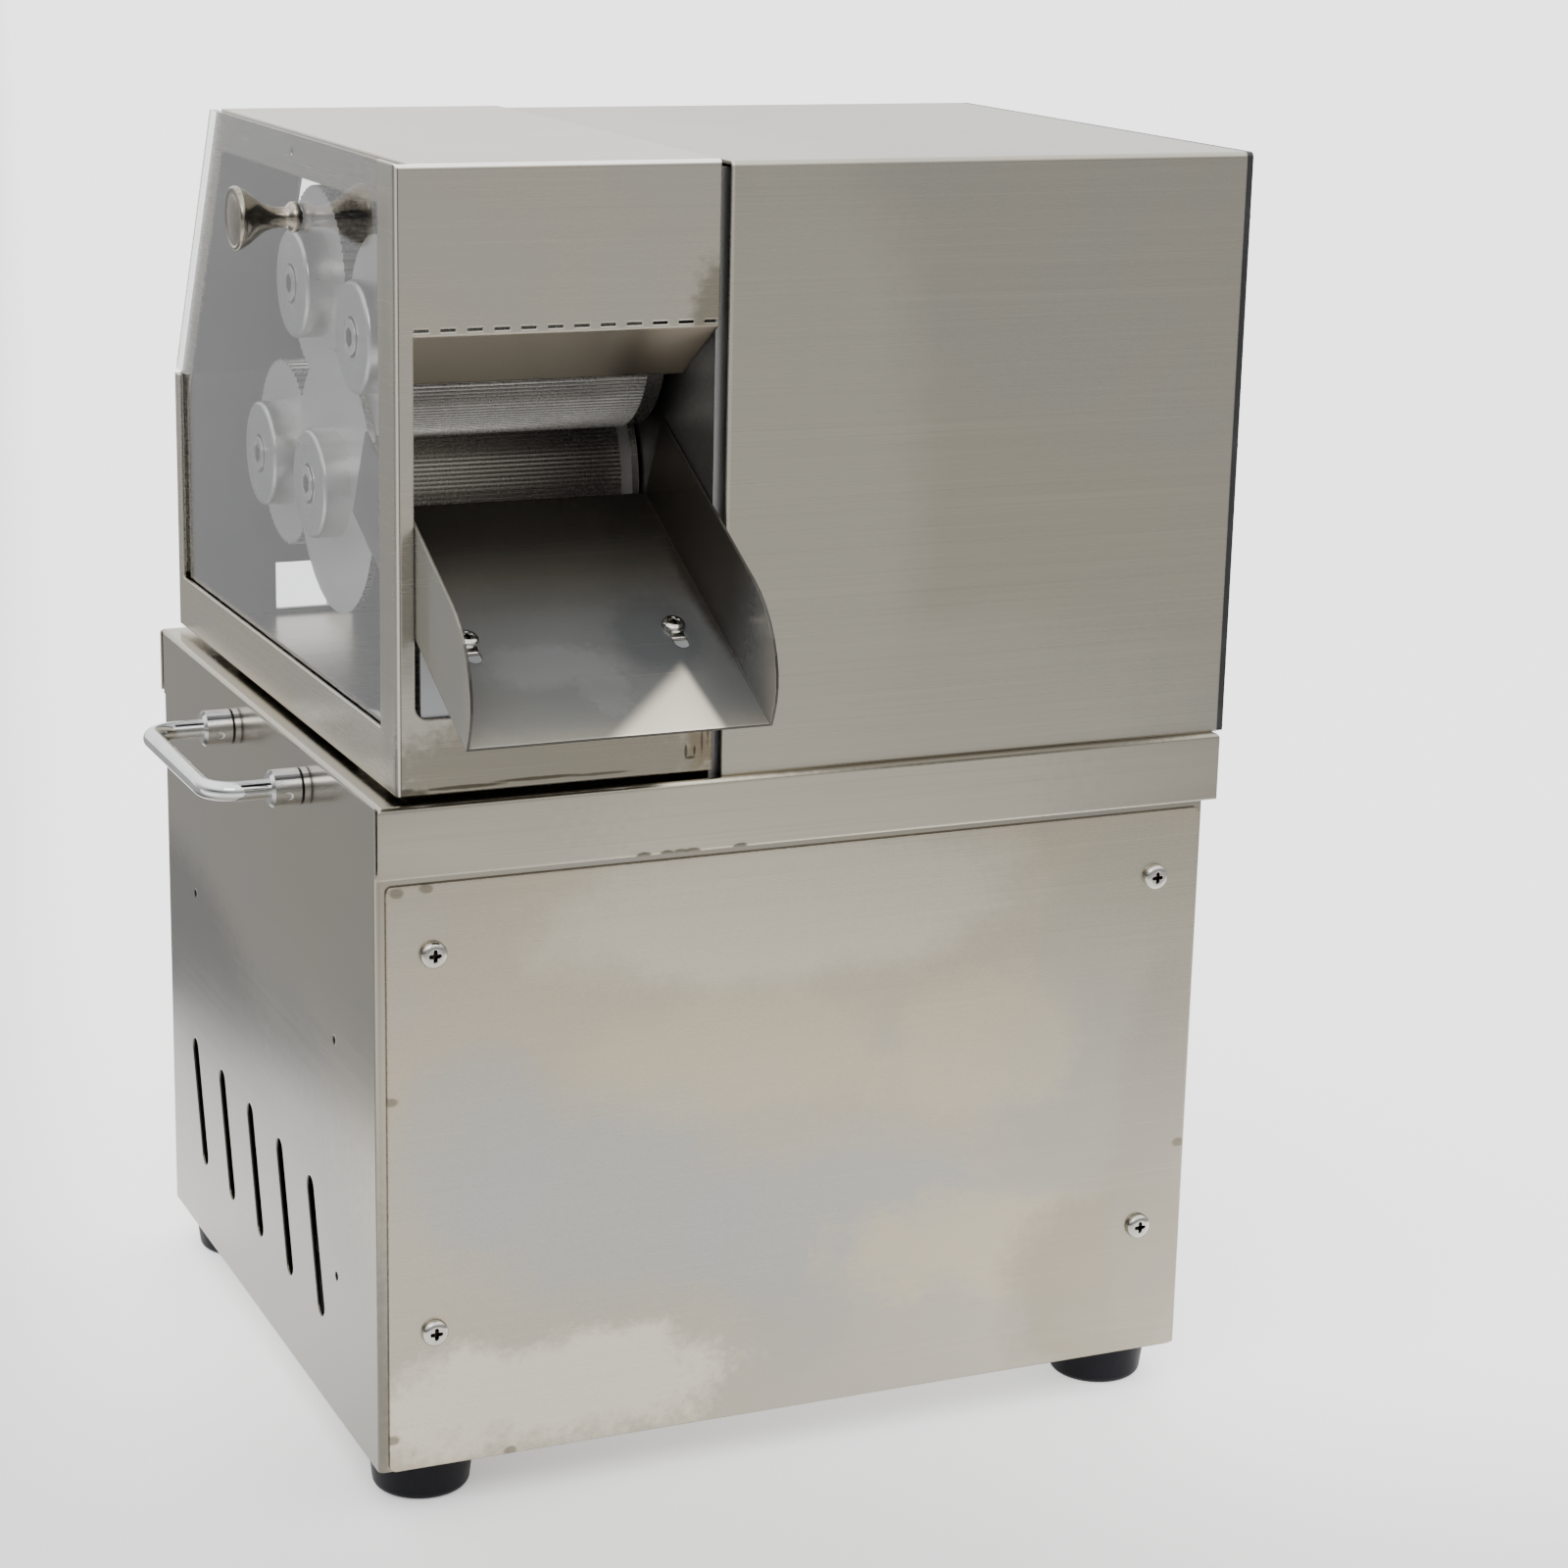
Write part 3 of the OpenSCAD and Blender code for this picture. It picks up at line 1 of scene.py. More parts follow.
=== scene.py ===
import math

import bmesh
import bpy
from bpy.props import FloatProperty, FloatVectorProperty, IntProperty, PointerProperty
from bpy.types import Operator, Panel, PropertyGroup
from mathutils import Matrix, Vector


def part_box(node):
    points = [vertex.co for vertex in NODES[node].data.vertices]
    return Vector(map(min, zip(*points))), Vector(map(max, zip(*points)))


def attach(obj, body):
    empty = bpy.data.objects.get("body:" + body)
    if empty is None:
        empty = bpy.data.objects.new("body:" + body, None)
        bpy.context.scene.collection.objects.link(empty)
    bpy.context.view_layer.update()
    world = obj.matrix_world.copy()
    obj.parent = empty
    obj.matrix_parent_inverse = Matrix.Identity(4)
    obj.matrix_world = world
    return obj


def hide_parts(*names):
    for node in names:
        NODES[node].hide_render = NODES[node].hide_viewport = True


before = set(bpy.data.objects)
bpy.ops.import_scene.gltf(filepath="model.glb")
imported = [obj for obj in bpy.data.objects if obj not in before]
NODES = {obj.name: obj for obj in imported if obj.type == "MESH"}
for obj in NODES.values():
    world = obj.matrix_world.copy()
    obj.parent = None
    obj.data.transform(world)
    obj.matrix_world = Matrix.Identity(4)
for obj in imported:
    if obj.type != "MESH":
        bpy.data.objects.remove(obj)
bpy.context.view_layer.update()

bl_info = {
    "name": "Sugarcane Juicer Looks",
    "version": (1, 0, 0),
    "blender": (4, 5, 0),
    "location": "View3D > Sidebar > Juicer",
    "description": "Dresses the packed sugarcane juicer with detailed pieces, materials and a studio",
    "category": "Object",
}


# Places on the machine, in millimetres from the cabinet's front left corner, as in the part's source

MID = (201.8, 168.188)
PANEL_FRONT, PANEL_BACK = -1.5, 356.5
DECK_FRONT, DECK_SEAM = -5.5, 293.2
COVER_FRONT = -1.6
END_FACE = 407.0
HANDLE_LEGS, HANDLE_RISE = (106.0, 221.0), 306.5
FERRULE_MIDDLES = (-8.5, 412.1)
CHUTE_SLOPE, CHUTE_FLOOR = math.radians(26.5), 396.0
CHUTE_SCREWS = (39.0, 131.5)
KNOB_SEAT = (12.5, 144.0, 553.5)

# The main roller's axis in Y and Z, and the distance from it to each of the others
MAIN_ROLLER, ROLLER_GAP = (144.99, 435.005), 91.955

# Where the sloped back of the head meets its upright part inside, in Y and Z, and the way the slope faces
HEAD_KNEE, HEAD_SLOPE = (357.25, 454.5), (0.8714, 0.4906)


def at(x, y, z):
    """Turns a place on the machine into metres in the shared frame."""
    return Vector(((x - MID[0]) / 1000, (y - MID[1]) / 1000, z / 1000))


# Settings

class SheetSettings(PropertyGroup):
    warm: FloatVectorProperty(
        name="Warm steel", description="Colour of the sheet where it has a warm cast",
        subtype="COLOR", size=3, min=0.0, max=1.0, default=(0.40, 0.372, 0.325))
    cool: FloatVectorProperty(
        name="Cool steel", description="Colour of the sheet where it has a cool cast",
        subtype="COLOR", size=3, min=0.0, max=1.0, default=(0.372, 0.368, 0.362))
    yellow: FloatProperty(
        name="Yellowness", description="Share of blue that the sheet and its marks lose",
        subtype="FACTOR", default=0.05, min=0.0, max=0.5)
    roughness: FloatProperty(
        name="Roughness", description="Roughness of the brushed surface",
        subtype="FACTOR", default=0.27, min=0.05, max=0.8)
    stain: FloatProperty(
        name="Stain", description="How strongly the cool areas show",
        subtype="FACTOR", default=0.7, min=0.0, max=1.0)
    lines: FloatProperty(
        name="Brush lines", description="Brush lines in each metre", default=2600.0, min=100.0)
    contrast: FloatProperty(
        name="Brush contrast", description="How far the brush lines differ from the sheet",
        subtype="FACTOR", default=0.11, min=0.0, max=1.0)
    fold: FloatProperty(
        name="Edge radius", description="Radius that the light sees on the sheet's edges",
        subtype="DISTANCE", unit="LENGTH", default=0.0013, min=0.0)


class ScrewSettings(PropertyGroup):
    head: FloatProperty(
        name="Head diameter", description="Diameter of a pan head",
        subtype="DISTANCE", unit="LENGTH", default=0.0120, min=0.001)
    height: FloatProperty(
        name="Head height", description="Height of a pan head above its seat",
        subtype="DISTANCE", unit="LENGTH", default=0.0036, min=0.0005)
    reach: FloatProperty(
        name="Recess reach", description="Reach of the cross recess from the middle of the head",
        subtype="DISTANCE", unit="LENGTH", default=0.0029, min=0.0005)
    depth: FloatProperty(
        name="Recess depth", description="Depth of the cross recess",
        subtype="DISTANCE", unit="LENGTH", default=0.0021, min=0.0)
    segments: IntProperty(name="Segments", description="Steps round a head", default=72, min=16)
    chute_share: FloatProperty(
        name="Chute screws", description="Size of the chute's screws as a share of the panel screws",
        subtype="FACTOR", default=0.84, min=0.1, max=1.0)


class WindowSettings(PropertyGroup):
    tint: FloatVectorProperty(
        name="Tint", description="Colour that the clear window passes",
        subtype="COLOR", size=3, min=0.0, max=1.0, default=(0.93, 0.94, 0.95))


class StageSettings(PropertyGroup):
    lens: FloatProperty(
        name="Lens", description="Focal length of the camera in millimetres",
        subtype="DISTANCE_CAMERA", default=81.97, min=1.0)
    floor: FloatVectorProperty(
        name="Floor", description="Colour of the floor in the light",
        subtype="COLOR", size=3, min=0.0, max=1.0, default=(0.95, 0.95, 0.95))
    shade: FloatProperty(
        name="Floor outside the light",
        description="Share of its colour that the floor keeps outside the light",
        subtype="FACTOR", default=0.36, min=0.0, max=1.0)
    glow: FloatProperty(
        name="Floor glow", description="Light that the floor gives behind the machine", default=0.9, min=0.0)
    key: FloatProperty(
        name="Key light", description="Power of the key light",
        subtype="POWER", unit="POWER", default=20.0, min=0.0)
    sky: FloatProperty(name="Sky", description="Strength of the light from above", default=2.4, min=0.0)


class JuicerSettings(PropertyGroup):
    sheet: PointerProperty(type=SheetSettings)
    screw: PointerProperty(type=ScrewSettings)
    window: PointerProperty(type=WindowSettings)
    stage: PointerProperty(type=StageSettings)


# Shader maths

class Sock:
    """A shader output that can be used in formulas."""

    def __init__(self, tree, out):
        self.tree = tree
        self.out = out

    @classmethod
    def made(cls, tree, kind, settings=(), sockets=(), out=0):
        """Adds a node with its settings, then the values or links of its sockets."""
        node = tree.nodes.new(kind)
        for key, value in dict(settings).items():
            setattr(node, key, value)
        for key, value in dict(sockets).items():
            if isinstance(value, Sock):
                tree.links.new(value.out, node.inputs[key])
            else:
                node.inputs[key].default_value = value
        return cls(tree, node.outputs[out])

    def into(self, kind, settings=(), sockets=(), out=0):
        return Sock.made(self.tree, kind, settings, sockets, out)

    def math(self, operation, *others):
        return self.into("ShaderNodeMath", {"operation": operation}, enumerate((self, *others)))

    def __add__(self, other):
        return self.math("ADD", other)

    __radd__ = __add__

    def __sub__(self, other):
        return self.math("SUBTRACT", other)

    def __rsub__(self, other):
        return self.math("MULTIPLY", -1.0) + other

    def __mul__(self, other):
        return self.math("MULTIPLY", other)

    __rmul__ = __mul__

    def __abs__(self):
        return self.math("ABSOLUTE")

    def high(self, other):
        return self.math("MAXIMUM", other)

    def band(self, lo, hi, start=0.0, end=1.0):
        """Goes smoothly from start to end while the value goes from lo to hi."""
        return self.into("ShaderNodeMapRange", {"interpolation_type": "SMOOTHSTEP"}, {
            "Value": self, "From Min": lo, "From Max": hi, "To Min": start, "To Max": end})

    def ridge(self, lo, low, high, hi, level=1.0):
        """Rises to level from lo to low, and falls back to zero from high to hi."""
        return self.band(lo, low) * self.band(high, hi, level, 0.0)

    def scaled(self, x, y, z):
        return self.into("ShaderNodeVectorMath", {"operation": "MULTIPLY"}, {0: self, 1: (x, y, z)})

    def split(self):
        first = self.into("ShaderNodeSeparateXYZ", sockets={0: self})
        return [Sock(self.tree, out) for out in first.out.node.outputs]

    def noise(self, scale, detail=3.0, roughness=0.55):
        return self.into("ShaderNodeTexNoise", sockets={
            "Vector": self, "Scale": scale, "Detail": detail, "Roughness": roughness}, out="Fac")

    def mix(self, first, second):
        """Mixes two colours by this value."""
        first, second = [c if isinstance(c, Sock) else (*c[:3], 1.0) for c in (first, second)]
        return self.into("ShaderNodeMix", {"data_type": "RGBA"}, {0: self, 6: first, 7: second}, 2)

    def away(self, centre, radii):
        """How far this place is from a centre, measured in the radii."""
        offset = self.into("ShaderNodeVectorMath", {"operation": "SUBTRACT"}, {0: self, 1: tuple(centre)})
        offset = offset.scaled(*(1.0 / radius for radius in radii))
        return self.into("ShaderNodeVectorMath", {"operation": "LENGTH"}, {0: offset}, "Value")

    def bump(self, strength, distance, normal=None):
        sockets = {"Strength": strength, "Distance": distance, "Height": self}
        if normal:
            sockets["Normal"] = normal
        return self.into("ShaderNodeBump", sockets=sockets)


class Look:
    """A material with one Principled shader, its object coordinates and its face normals."""

    def __init__(self, name, **constants):
        self.material = bpy.data.materials.new(name)
        self.material.use_nodes = True
        self.tree = self.material.node_tree
        self.shader = self.tree.nodes["Principled BSDF"]
        self.place = Sock.made(self.tree, "ShaderNodeTexCoord", out="Object")
        self.facing = Sock.made(self.tree, "ShaderNodeNewGeometry", out="True Normal")
        for key, value in constants.items():
            self.set(key.replace("_", " ").title(), value)

    def own(self, name):
        """A value that the mesh carries at its points."""
        return Sock.made(self.tree, "ShaderNodeAttribute", {"attribute_name": name}, out="Fac")

    def rounded(self, radius):
        """Normals that run softly over the edges."""
        return Sock.made(self.tree, "ShaderNodeBevel", {"samples": 6}, {"Radius": radius})

    def inside(self, low, high, soft=0.0004):
        """One inside a box and zero outside it."""
        mask = None
        for part, lo, hi in zip(self.place.split(), low, high):
            one = part.ridge(lo - soft, lo + soft, hi - soft, hi + soft)
            mask = mask * one if mask else one
        return mask

    def set(self, name, value):
        socket = self.shader.inputs[name.replace("Ior", "IOR")]
        if isinstance(value, Sock):
            self.tree.links.new(value.out, socket)
        elif socket.type == "RGBA" and len(value) == 3:
            socket.default_value = (*value, 1.0)
        else:
            socket.default_value = value


def dress(material, *names):
    """Gives a material to CAD nodes."""
    for name in names:
        slots = NODES[name].data.materials
        slots.clear()
        slots.append(material)


# Mesh helpers

def new_object(name, mesh, material=None):
    made = bpy.data.objects.new(name, mesh)
    bpy.context.scene.collection.objects.link(made)
    if material:
        mesh.materials.clear()
        mesh.materials.append(material)
    return made


def smooth(mesh, angle=35.0):
    """Smooth faces, with the edges sharper than angle kept."""
    for face in mesh.polygons:
        face.use_smooth = True
    shape = bmesh.new()
    shape.from_mesh(mesh)
    for edge in shape.edges:
        edge.smooth = len(edge.link_faces) < 2 or edge.calc_face_angle() < math.radians(angle)
    shape.to_mesh(mesh)
    shape.free()


def lathe(name, profile, segments, place=Matrix.Identity(4)):
    """Turns a profile of (radius, height) in metres about Z, then moves it by place."""
    shape = bmesh.new()
    rings = []
    for radius, height in profile:
        if radius < 1e-6:
            rings.append([shape.verts.new((0, 0, height))])
            continue
        rings.append([
            shape.verts.new((radius * math.cos(2 * math.pi * i / segments),
                             radius * math.sin(2 * math.pi * i / segments), height))
            for i in range(segments)
        ])
    for low, high in zip(rings, rings[1:]):
        for i in range(segments):
            j = (i + 1) % segments
            corners = [low[i % len(low)], low[j % len(low)], high[j % len(high)], high[i % len(high)]]
            unique = list(dict.fromkeys(corners))
            if len(unique) > 2:
                shape.faces.new(unique)
    bmesh.ops.recalc_face_normals(shape, faces=shape.faces)
    shape.transform(place)
    mesh = bpy.data.meshes.new(name)
    shape.to_mesh(mesh)
    shape.free()
    return mesh


def scatter(name, source, seats, material, size=1.0):
    """Sets a copy of source on every seat, given as a place and the direction that its Z axis takes."""
    points = bpy.data.meshes.new(name + "_points")
    points.from_pydata([tuple(place) for place, _ in seats], [], [])
    aims = points.attributes.new("aim", "FLOAT_VECTOR", "POINT")
    for i, (_, aim) in enumerate(seats):
        aims.data[i].vector = aim
    carrier = new_object(name + "_carrier", points)
    tree = bpy.data.node_groups.new(name + "_nodes", "GeometryNodeTree")
    tree.interface.new_socket("Seats", in_out="INPUT", socket_type="NodeSocketGeometry")
    scale = tree.interface.new_socket("Size", in_out="INPUT", socket_type="NodeSocketFloat")
    tree.interface.new_socket("Pieces", in_out="OUTPUT", socket_type="NodeSocketGeometry")
    made = {key: tree.nodes.new(kind) for key, kind in (
        ("start", "NodeGroupInput"), ("aim", "GeometryNodeInputNamedAttribute"),
        ("turn", "FunctionNodeAlignRotationToVector"), ("piece", "GeometryNodeObjectInfo"),
        ("copy", "GeometryNodeInstanceOnPoints"), ("real", "GeometryNodeRealizeInstances"),
        ("paint", "GeometryNodeSetMaterial"), ("end", "NodeGroupOutput"),
    )}
    made["aim"].data_type = "FLOAT_VECTOR"
    made["aim"].inputs["Name"].default_value = "aim"
    made["turn"].axis = "Z"
    made["piece"].inputs["Object"].default_value = source
    made["paint"].inputs["Material"].default_value = material
    for first, out, second, into in (
        ("start", "Seats", "copy", "Points"), ("start", "Size", "copy", "Scale"),
        ("aim", 0, "turn", "Vector"), ("turn", 0, "copy", "Rotation"),
        ("piece", "Geometry", "copy", "Instance"), ("copy", 0, "real", 0),
        ("real", 0, "paint", "Geometry"), ("paint", 0, "end", 0),
    ):
        tree.links.new(made[first].outputs[out], made[second].inputs[into])
    modifier = carrier.modifiers.new("Scatter", "NODES")
    modifier.node_group = tree
    modifier[scale.identifier] = size
    graph = bpy.context.evaluated_depsgraph_get()
    mesh = bpy.data.meshes.new_from_object(carrier.evaluated_get(graph))
    mesh.name = name
    piece = new_object(name, mesh, material)
    bpy.data.objects.remove(carrier)
    bpy.data.node_groups.remove(tree)
    return piece


def stand_for(piece, node, body):
    """Lets a piece stand for a CAD node."""
    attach(piece, body)
    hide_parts(node)


# Materials that several pieces share

def brush_lines(place, lines, axis):
    """Fine lines with broader ones among them, along the X axis (0) or the Y axis (1)."""
    fine, broad = [lines] * 3, [lines / 9] * 3
    fine[axis], broad[axis] = 7.0, 2.0
    return place.scaled(*fine).noise(1.0, 2.0) * 0.7 + place.scaled(*broad).noise(1.0, 3.0) * 0.3


def sheet_look(name, settings, tint=1.0, warmth=0.0, rough=0.0, shift=0.0, brushed=1.0, patches=()):
    """Brushed stainless sheet: fine lines, warm and cool areas, and ragged patches of other tints, some of
    which callers use as painted shade, painted shadow or painted highlight.

    A patch is (centre, radii, tint, amount, raggedness).
    """
    look = Look(name, metallic=1.0)
    place = look.place
    side = abs(look.facing.split()[0]).band(0.5, 0.7)
    across, along = [brush_lines(place, settings.lines, axis) for axis in (0, 1)]
    brush = across * (1.0 - side) + along * side
    cloud, crumb = place.noise(23.0, 4.0, 0.6), place.noise(260.0, 3.0, 0.6)
    tone = (place.scaled(1.0, 1.0, 1.4).noise(5.0 + shift, 3.0, 0.5) + (cloud - 0.5) * 0.25).band(0.40, 0.62)
    keep = (1.0, 1.0 + 0.1 * settings.yellow, 1.0 - settings.yellow)
    cast = (tint * (1 + warmth), tint * keep[1], tint * (1 - warmth) * keep[2])
    warm, cool = [tuple(c * k for c, k in zip(colour, cast)) for colour in (settings.warm, settings.cool)]
    colour = (tone * settings.stain).mix(warm, cool)
    for centre, radii, patch, amount, ragged in patches:
        frayed = cloud * 0.75 + crumb * 0.25 if min(radii) > 0.012 else crumb
        near = place.away(centre, radii) + (frayed - 0.5) * ragged
        colour = near.band(0.6, 1.15, amount, 0.0).mix(colour, tuple(c * k for c, k in zip(patch, keep)))
    colour = brush.band(0.25, 0.5, settings.contrast * brushed, 0.0).mix(colour, tuple(c * 0.5 for c in warm))
    colour = brush.band(0.5, 0.75, 0.0, settings.contrast * brushed).mix(colour, tuple(c * 1.9 for c in warm))
    look.colour = colour
    look.set("Base Color", colour)
    look.rough = brush.band(0.2, 0.8, settings.roughness - 0.03, settings.roughness + 0.04)
    look.rough = look.rough + tone * -0.03 + rough
    look.set("Roughness", look.rough)
    look.brush = brush
    look.edges = look.rounded(settings.fold)
    look.set("Normal", brush.bump(0.035 * brushed, 0.0002, look.edges))
    return look


def worn_metal(name, colour, roughness, grain=900.0, depth=0.08, variation=0.15):
    """Plain machined or plated metal with fine grain and slight variation."""
    look = Look(name, metallic=1.0)
    grit = look.place.noise(grain, 3.0)
    cloud = look.place.noise(45.0, 3.0)
    dark = tuple(c * (1 - variation) for c in colour)
    look.colour = (cloud * 0.6 + grit * 0.4).band(0.3, 0.7).mix(dark, colour)
    look.set("Base Color", look.colour)
    look.rough = (cloud * 0.5 + grit * 0.5).band(0.3, 0.7, roughness + 0.06, roughness - 0.04)
    look.set("Roughness", look.rough)
    look.grit = grit
    look.set("Normal", grit.bump(depth, 0.0002))
    return look


def dark_finish(name, colour, roughness, grain=1200.0, depth=0.15, gloss=0.5):
    """Black paint, plastic or rubber with a fine moulded grain."""
    look = Look(name, specular_ior_level=gloss)
    grit = look.place.noise(grain, 2.0)
    dust = look.place.noise(38.0, 4.0)
    pale = tuple(min(1.0, c * 2.2 + 0.002) for c in colour)
    look.set("Base Color", (dust * 0.7 + grit * 0.3).band(0.42, 0.75).mix(colour, pale))
    look.set("Roughness", dust.band(0.3, 0.7, roughness - 0.05, roughness + 0.1))
    look.set("Normal", grit.bump(depth, 0.0003))
    return look.material


# Pieces

class JUICER_OT_cabinet(Operator):
    """Brushed sheet on the cabinet, with rubber under it"""
    bl_idname = "juicer.cabinet"
    bl_label = "Dress the cabinet"

    def execute(self, context):
        sheet = context.scene.juicer.sheet
        burnt, dirt = (0.06, 0.05, 0.04), (0.16, 0.14, 0.11)
        marks = [
            (at(200, DECK_FRONT, 309), (0.27, 0.004, 0.03), (0.45, 0.416, 0.362), 1.0, 0.1),
            (at(215, DECK_FRONT, 309), (0.13, 0.004, 0.05), (0.53, 0.49, 0.42), 0.9, 0.6),
            # Painted shadow: a dark stripe along the deck's top fold, under the front of the motor cover.
            (at(283, -4.5, 324.5), (0.135, 0.0042, 0.0026), (0.07, 0.062, 0.05), 0.9, 0.25),
            # Painted shade: two darker areas on the cabinet's left side.
            (at(0, 190, 40), (0.01, 0.30, 0.16), (0.135, 0.127, 0.114), 0.85, 0.3),
            (at(0, 345, 165), (0.01, 0.17, 0.062), (0.095, 0.089, 0.081), 0.85, 0.3),
        ]
        marks += [(at(0, y, z), (0.01, 0.0027, 0.0027), (0.008, 0.008, 0.008), 1.0, 0.0)
                  for y, z in ((62, 89.5), (62, 201.5), (300, 201.5))]
        marks += [(at(x, DECK_FRONT, DECK_SEAM), (0.004, 0.01, 0.0016), burnt, 0.8, 0.6)
                  for x in (119, 130, 136, 142, 164)]
        # The low tint darkens the whole cabinet sheet: painted shade meant for its left side.
        shell = sheet_look("cabinet_sheet", sheet, tint=0.80, warmth=0.03, rough=-0.09, shift=0.7,
                           patches=marks)
        dress(shell.material, "base_shell", "base_floor")
        cool, beige, pale = (0.345, 0.341, 0.343), (0.455, 0.398, 0.31), (0.62, 0.572, 0.50)
        blots = [(at(x, PANEL_FRONT, z), (wide, 1, tall), tint, amount, ragged)
                 for x, z, wide, tall, tint, amount, ragged in (
            (190, 262, 0.130, 0.040, (0.51, 0.47, 0.40), 0.85, 1.0),
            (105, 135, 0.080, 0.055, cool, 0.85, 1.3),
            (215, 108, 0.090, 0.046, cool, 0.8, 1.4),
            (45, 165, 0.045, 0.050, cool, 0.7, 1.2),
            (345, 150, 0.060, 0.070, (0.335, 0.318, 0.295), 0.7, 1.3),
            (375, 245, 0.055, 0.050, (0.385, 0.36, 0.31), 0.7, 1.1),
            (290, 185, 0.060, 0.040, beige, 0.7, 1.5),
            (320, 85, 0.110, 0.032, beige, 0.85, 2.4),
            (165, 195, 0.080, 0.035, beige, 0.6, 1.3),
            (75, 48, 0.095, 0.028, pale, 0.85, 2.4),
            (200, 60, 0.030, 0.030, (0.35, 0.335, 0.32), 0.6, 1.2),
            (362, 62, 0.060, 0.060, (0.305, 0.270, 0.220), 0.85, 1.2),
            (385, 120, 0.030, 0.110, (0.325, 0.297, 0.258), 0.7, 1.0),
            (398.5, 160, 0.0006, 0.150, (0.10, 0.09, 0.08), 0.8, 0.1),
        )]
        blots += [(at(x, PANEL_FRONT, z), (0.0035, 1, 0.0025), dirt, 0.8, 0.8)
                  for x, z in ((6, 193), (6, 36), (60, 22), (395, 124), (9, 286), (22, 287))]
        panels = sheet_look("panel_sheet", sheet, tint=0.95, warmth=0.06, shift=-1.2, patches=blots)
        dress(panels.material, "front_panel", "rear_panel")
        dress(dark_finish("foot_rubber", (0.004, 0.004, 0.006), 0.45, 1500.0, 0.05, 0.12), "rubber_feet")
        dress(worn_metal("control_case", (0.62, 0.63, 0.64), 0.42).material, "control_unit")
        return {"FINISHED"}


class JUICER_OT_handles(Operator):
    """Chrome bow handles with satin ferrules and their set screws"""
    bl_idname = "juicer.handles"
    bl_label = "Dress the handles"

    def execute(self, context):
        look = Look("handle_chrome", metallic=1.0)
        smear = look.place.noise(60.0, 3.0)
        colour = smear.band(0.3, 0.7).mix((0.56, 0.57, 0.58), (0.66, 0.67, 0.67))
        rise = look.facing.split()[2]
        left_legs = look.inside(at(-29, 90, 280), at(-1, 240, 330))
        right_legs = look.inside(at(405, 90, 280), at(433, 240, 330))
        # Painted reflection: a near-black stripe along the upper side of the legs, and painted shade on the
        # faces that face down, both chosen by the facing of the surface.
        painted_reflection_line = rise.ridge(0.52, 0.60, 0.74, 0.82) * left_legs.high(right_legs)
        painted_shade_below = rise.band(-0.55, -0.05, 0.85, 0.0)
        colour = painted_shade_below.mix(colour, (0.17, 0.16, 0.145))
        look.set("Base Color", painted_reflection_line.mix(colour, (0.02, 0.02, 0.022)))
        look.set("Roughness", smear.band(0.35, 0.75, 0.03, 0.07))
        dress(look.material, "left_handle", "right_handle")
        ferrule = worn_metal("ferrule_satin", (0.66, 0.66, 0.65), 0.17, 1600.0, 0.03)
        flange = at(405.6, 0, 0).x
        seam = abs(abs(ferrule.place.split()[0]) - flange).band(0.0004, 0.0008, 1.0, 0.0)
        rise = ferrule.facing.split()[2]
        # Painted shade on the ferrules' lower faces and a painted dark reflection stripe near their tops,
        # chosen by the facing of the surface.
        colour = rise.band(-0.7, 0.45, 1.0, 0.0).mix(ferrule.colour, (0.15, 0.142, 0.13))
        colour = rise.ridge(0.6, 0.68, 0.76, 0.84).mix(colour, (0.10, 0.10, 0.10))
        ferrule.set("Base Color", seam.mix(colour, (0.012, 0.012, 0.012)))
        dress(ferrule.material, "handle_ferrules")
        steel = worn_metal("set_screw", (0.50, 0.50, 0.49), 0.3).material
        rim, cup, deep = 0.0021, 0.0011, 0.0012
        profile = [(0, -deep), (cup, -deep), (cup, 0.0001), (rim * 0.9, 0.0003), (rim, -deep)]
        source = new_object("set_screw_source", lathe("set_screw", profile, 24))
        aim = Vector((0, -0.97, -0.24)).normalized()
        ferrule_radius = 0.0085
        seats = [(at(x, y, HANDLE_RISE) + aim * ferrule_radius, aim)
                 for x in FERRULE_MIDDLES for y in HANDLE_LEGS]
        piece = scatter("handle_set_screws", source, seats, steel)
        bpy.data.objects.remove(source)
        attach(piece, "machine")
        return {"FINISHED"}


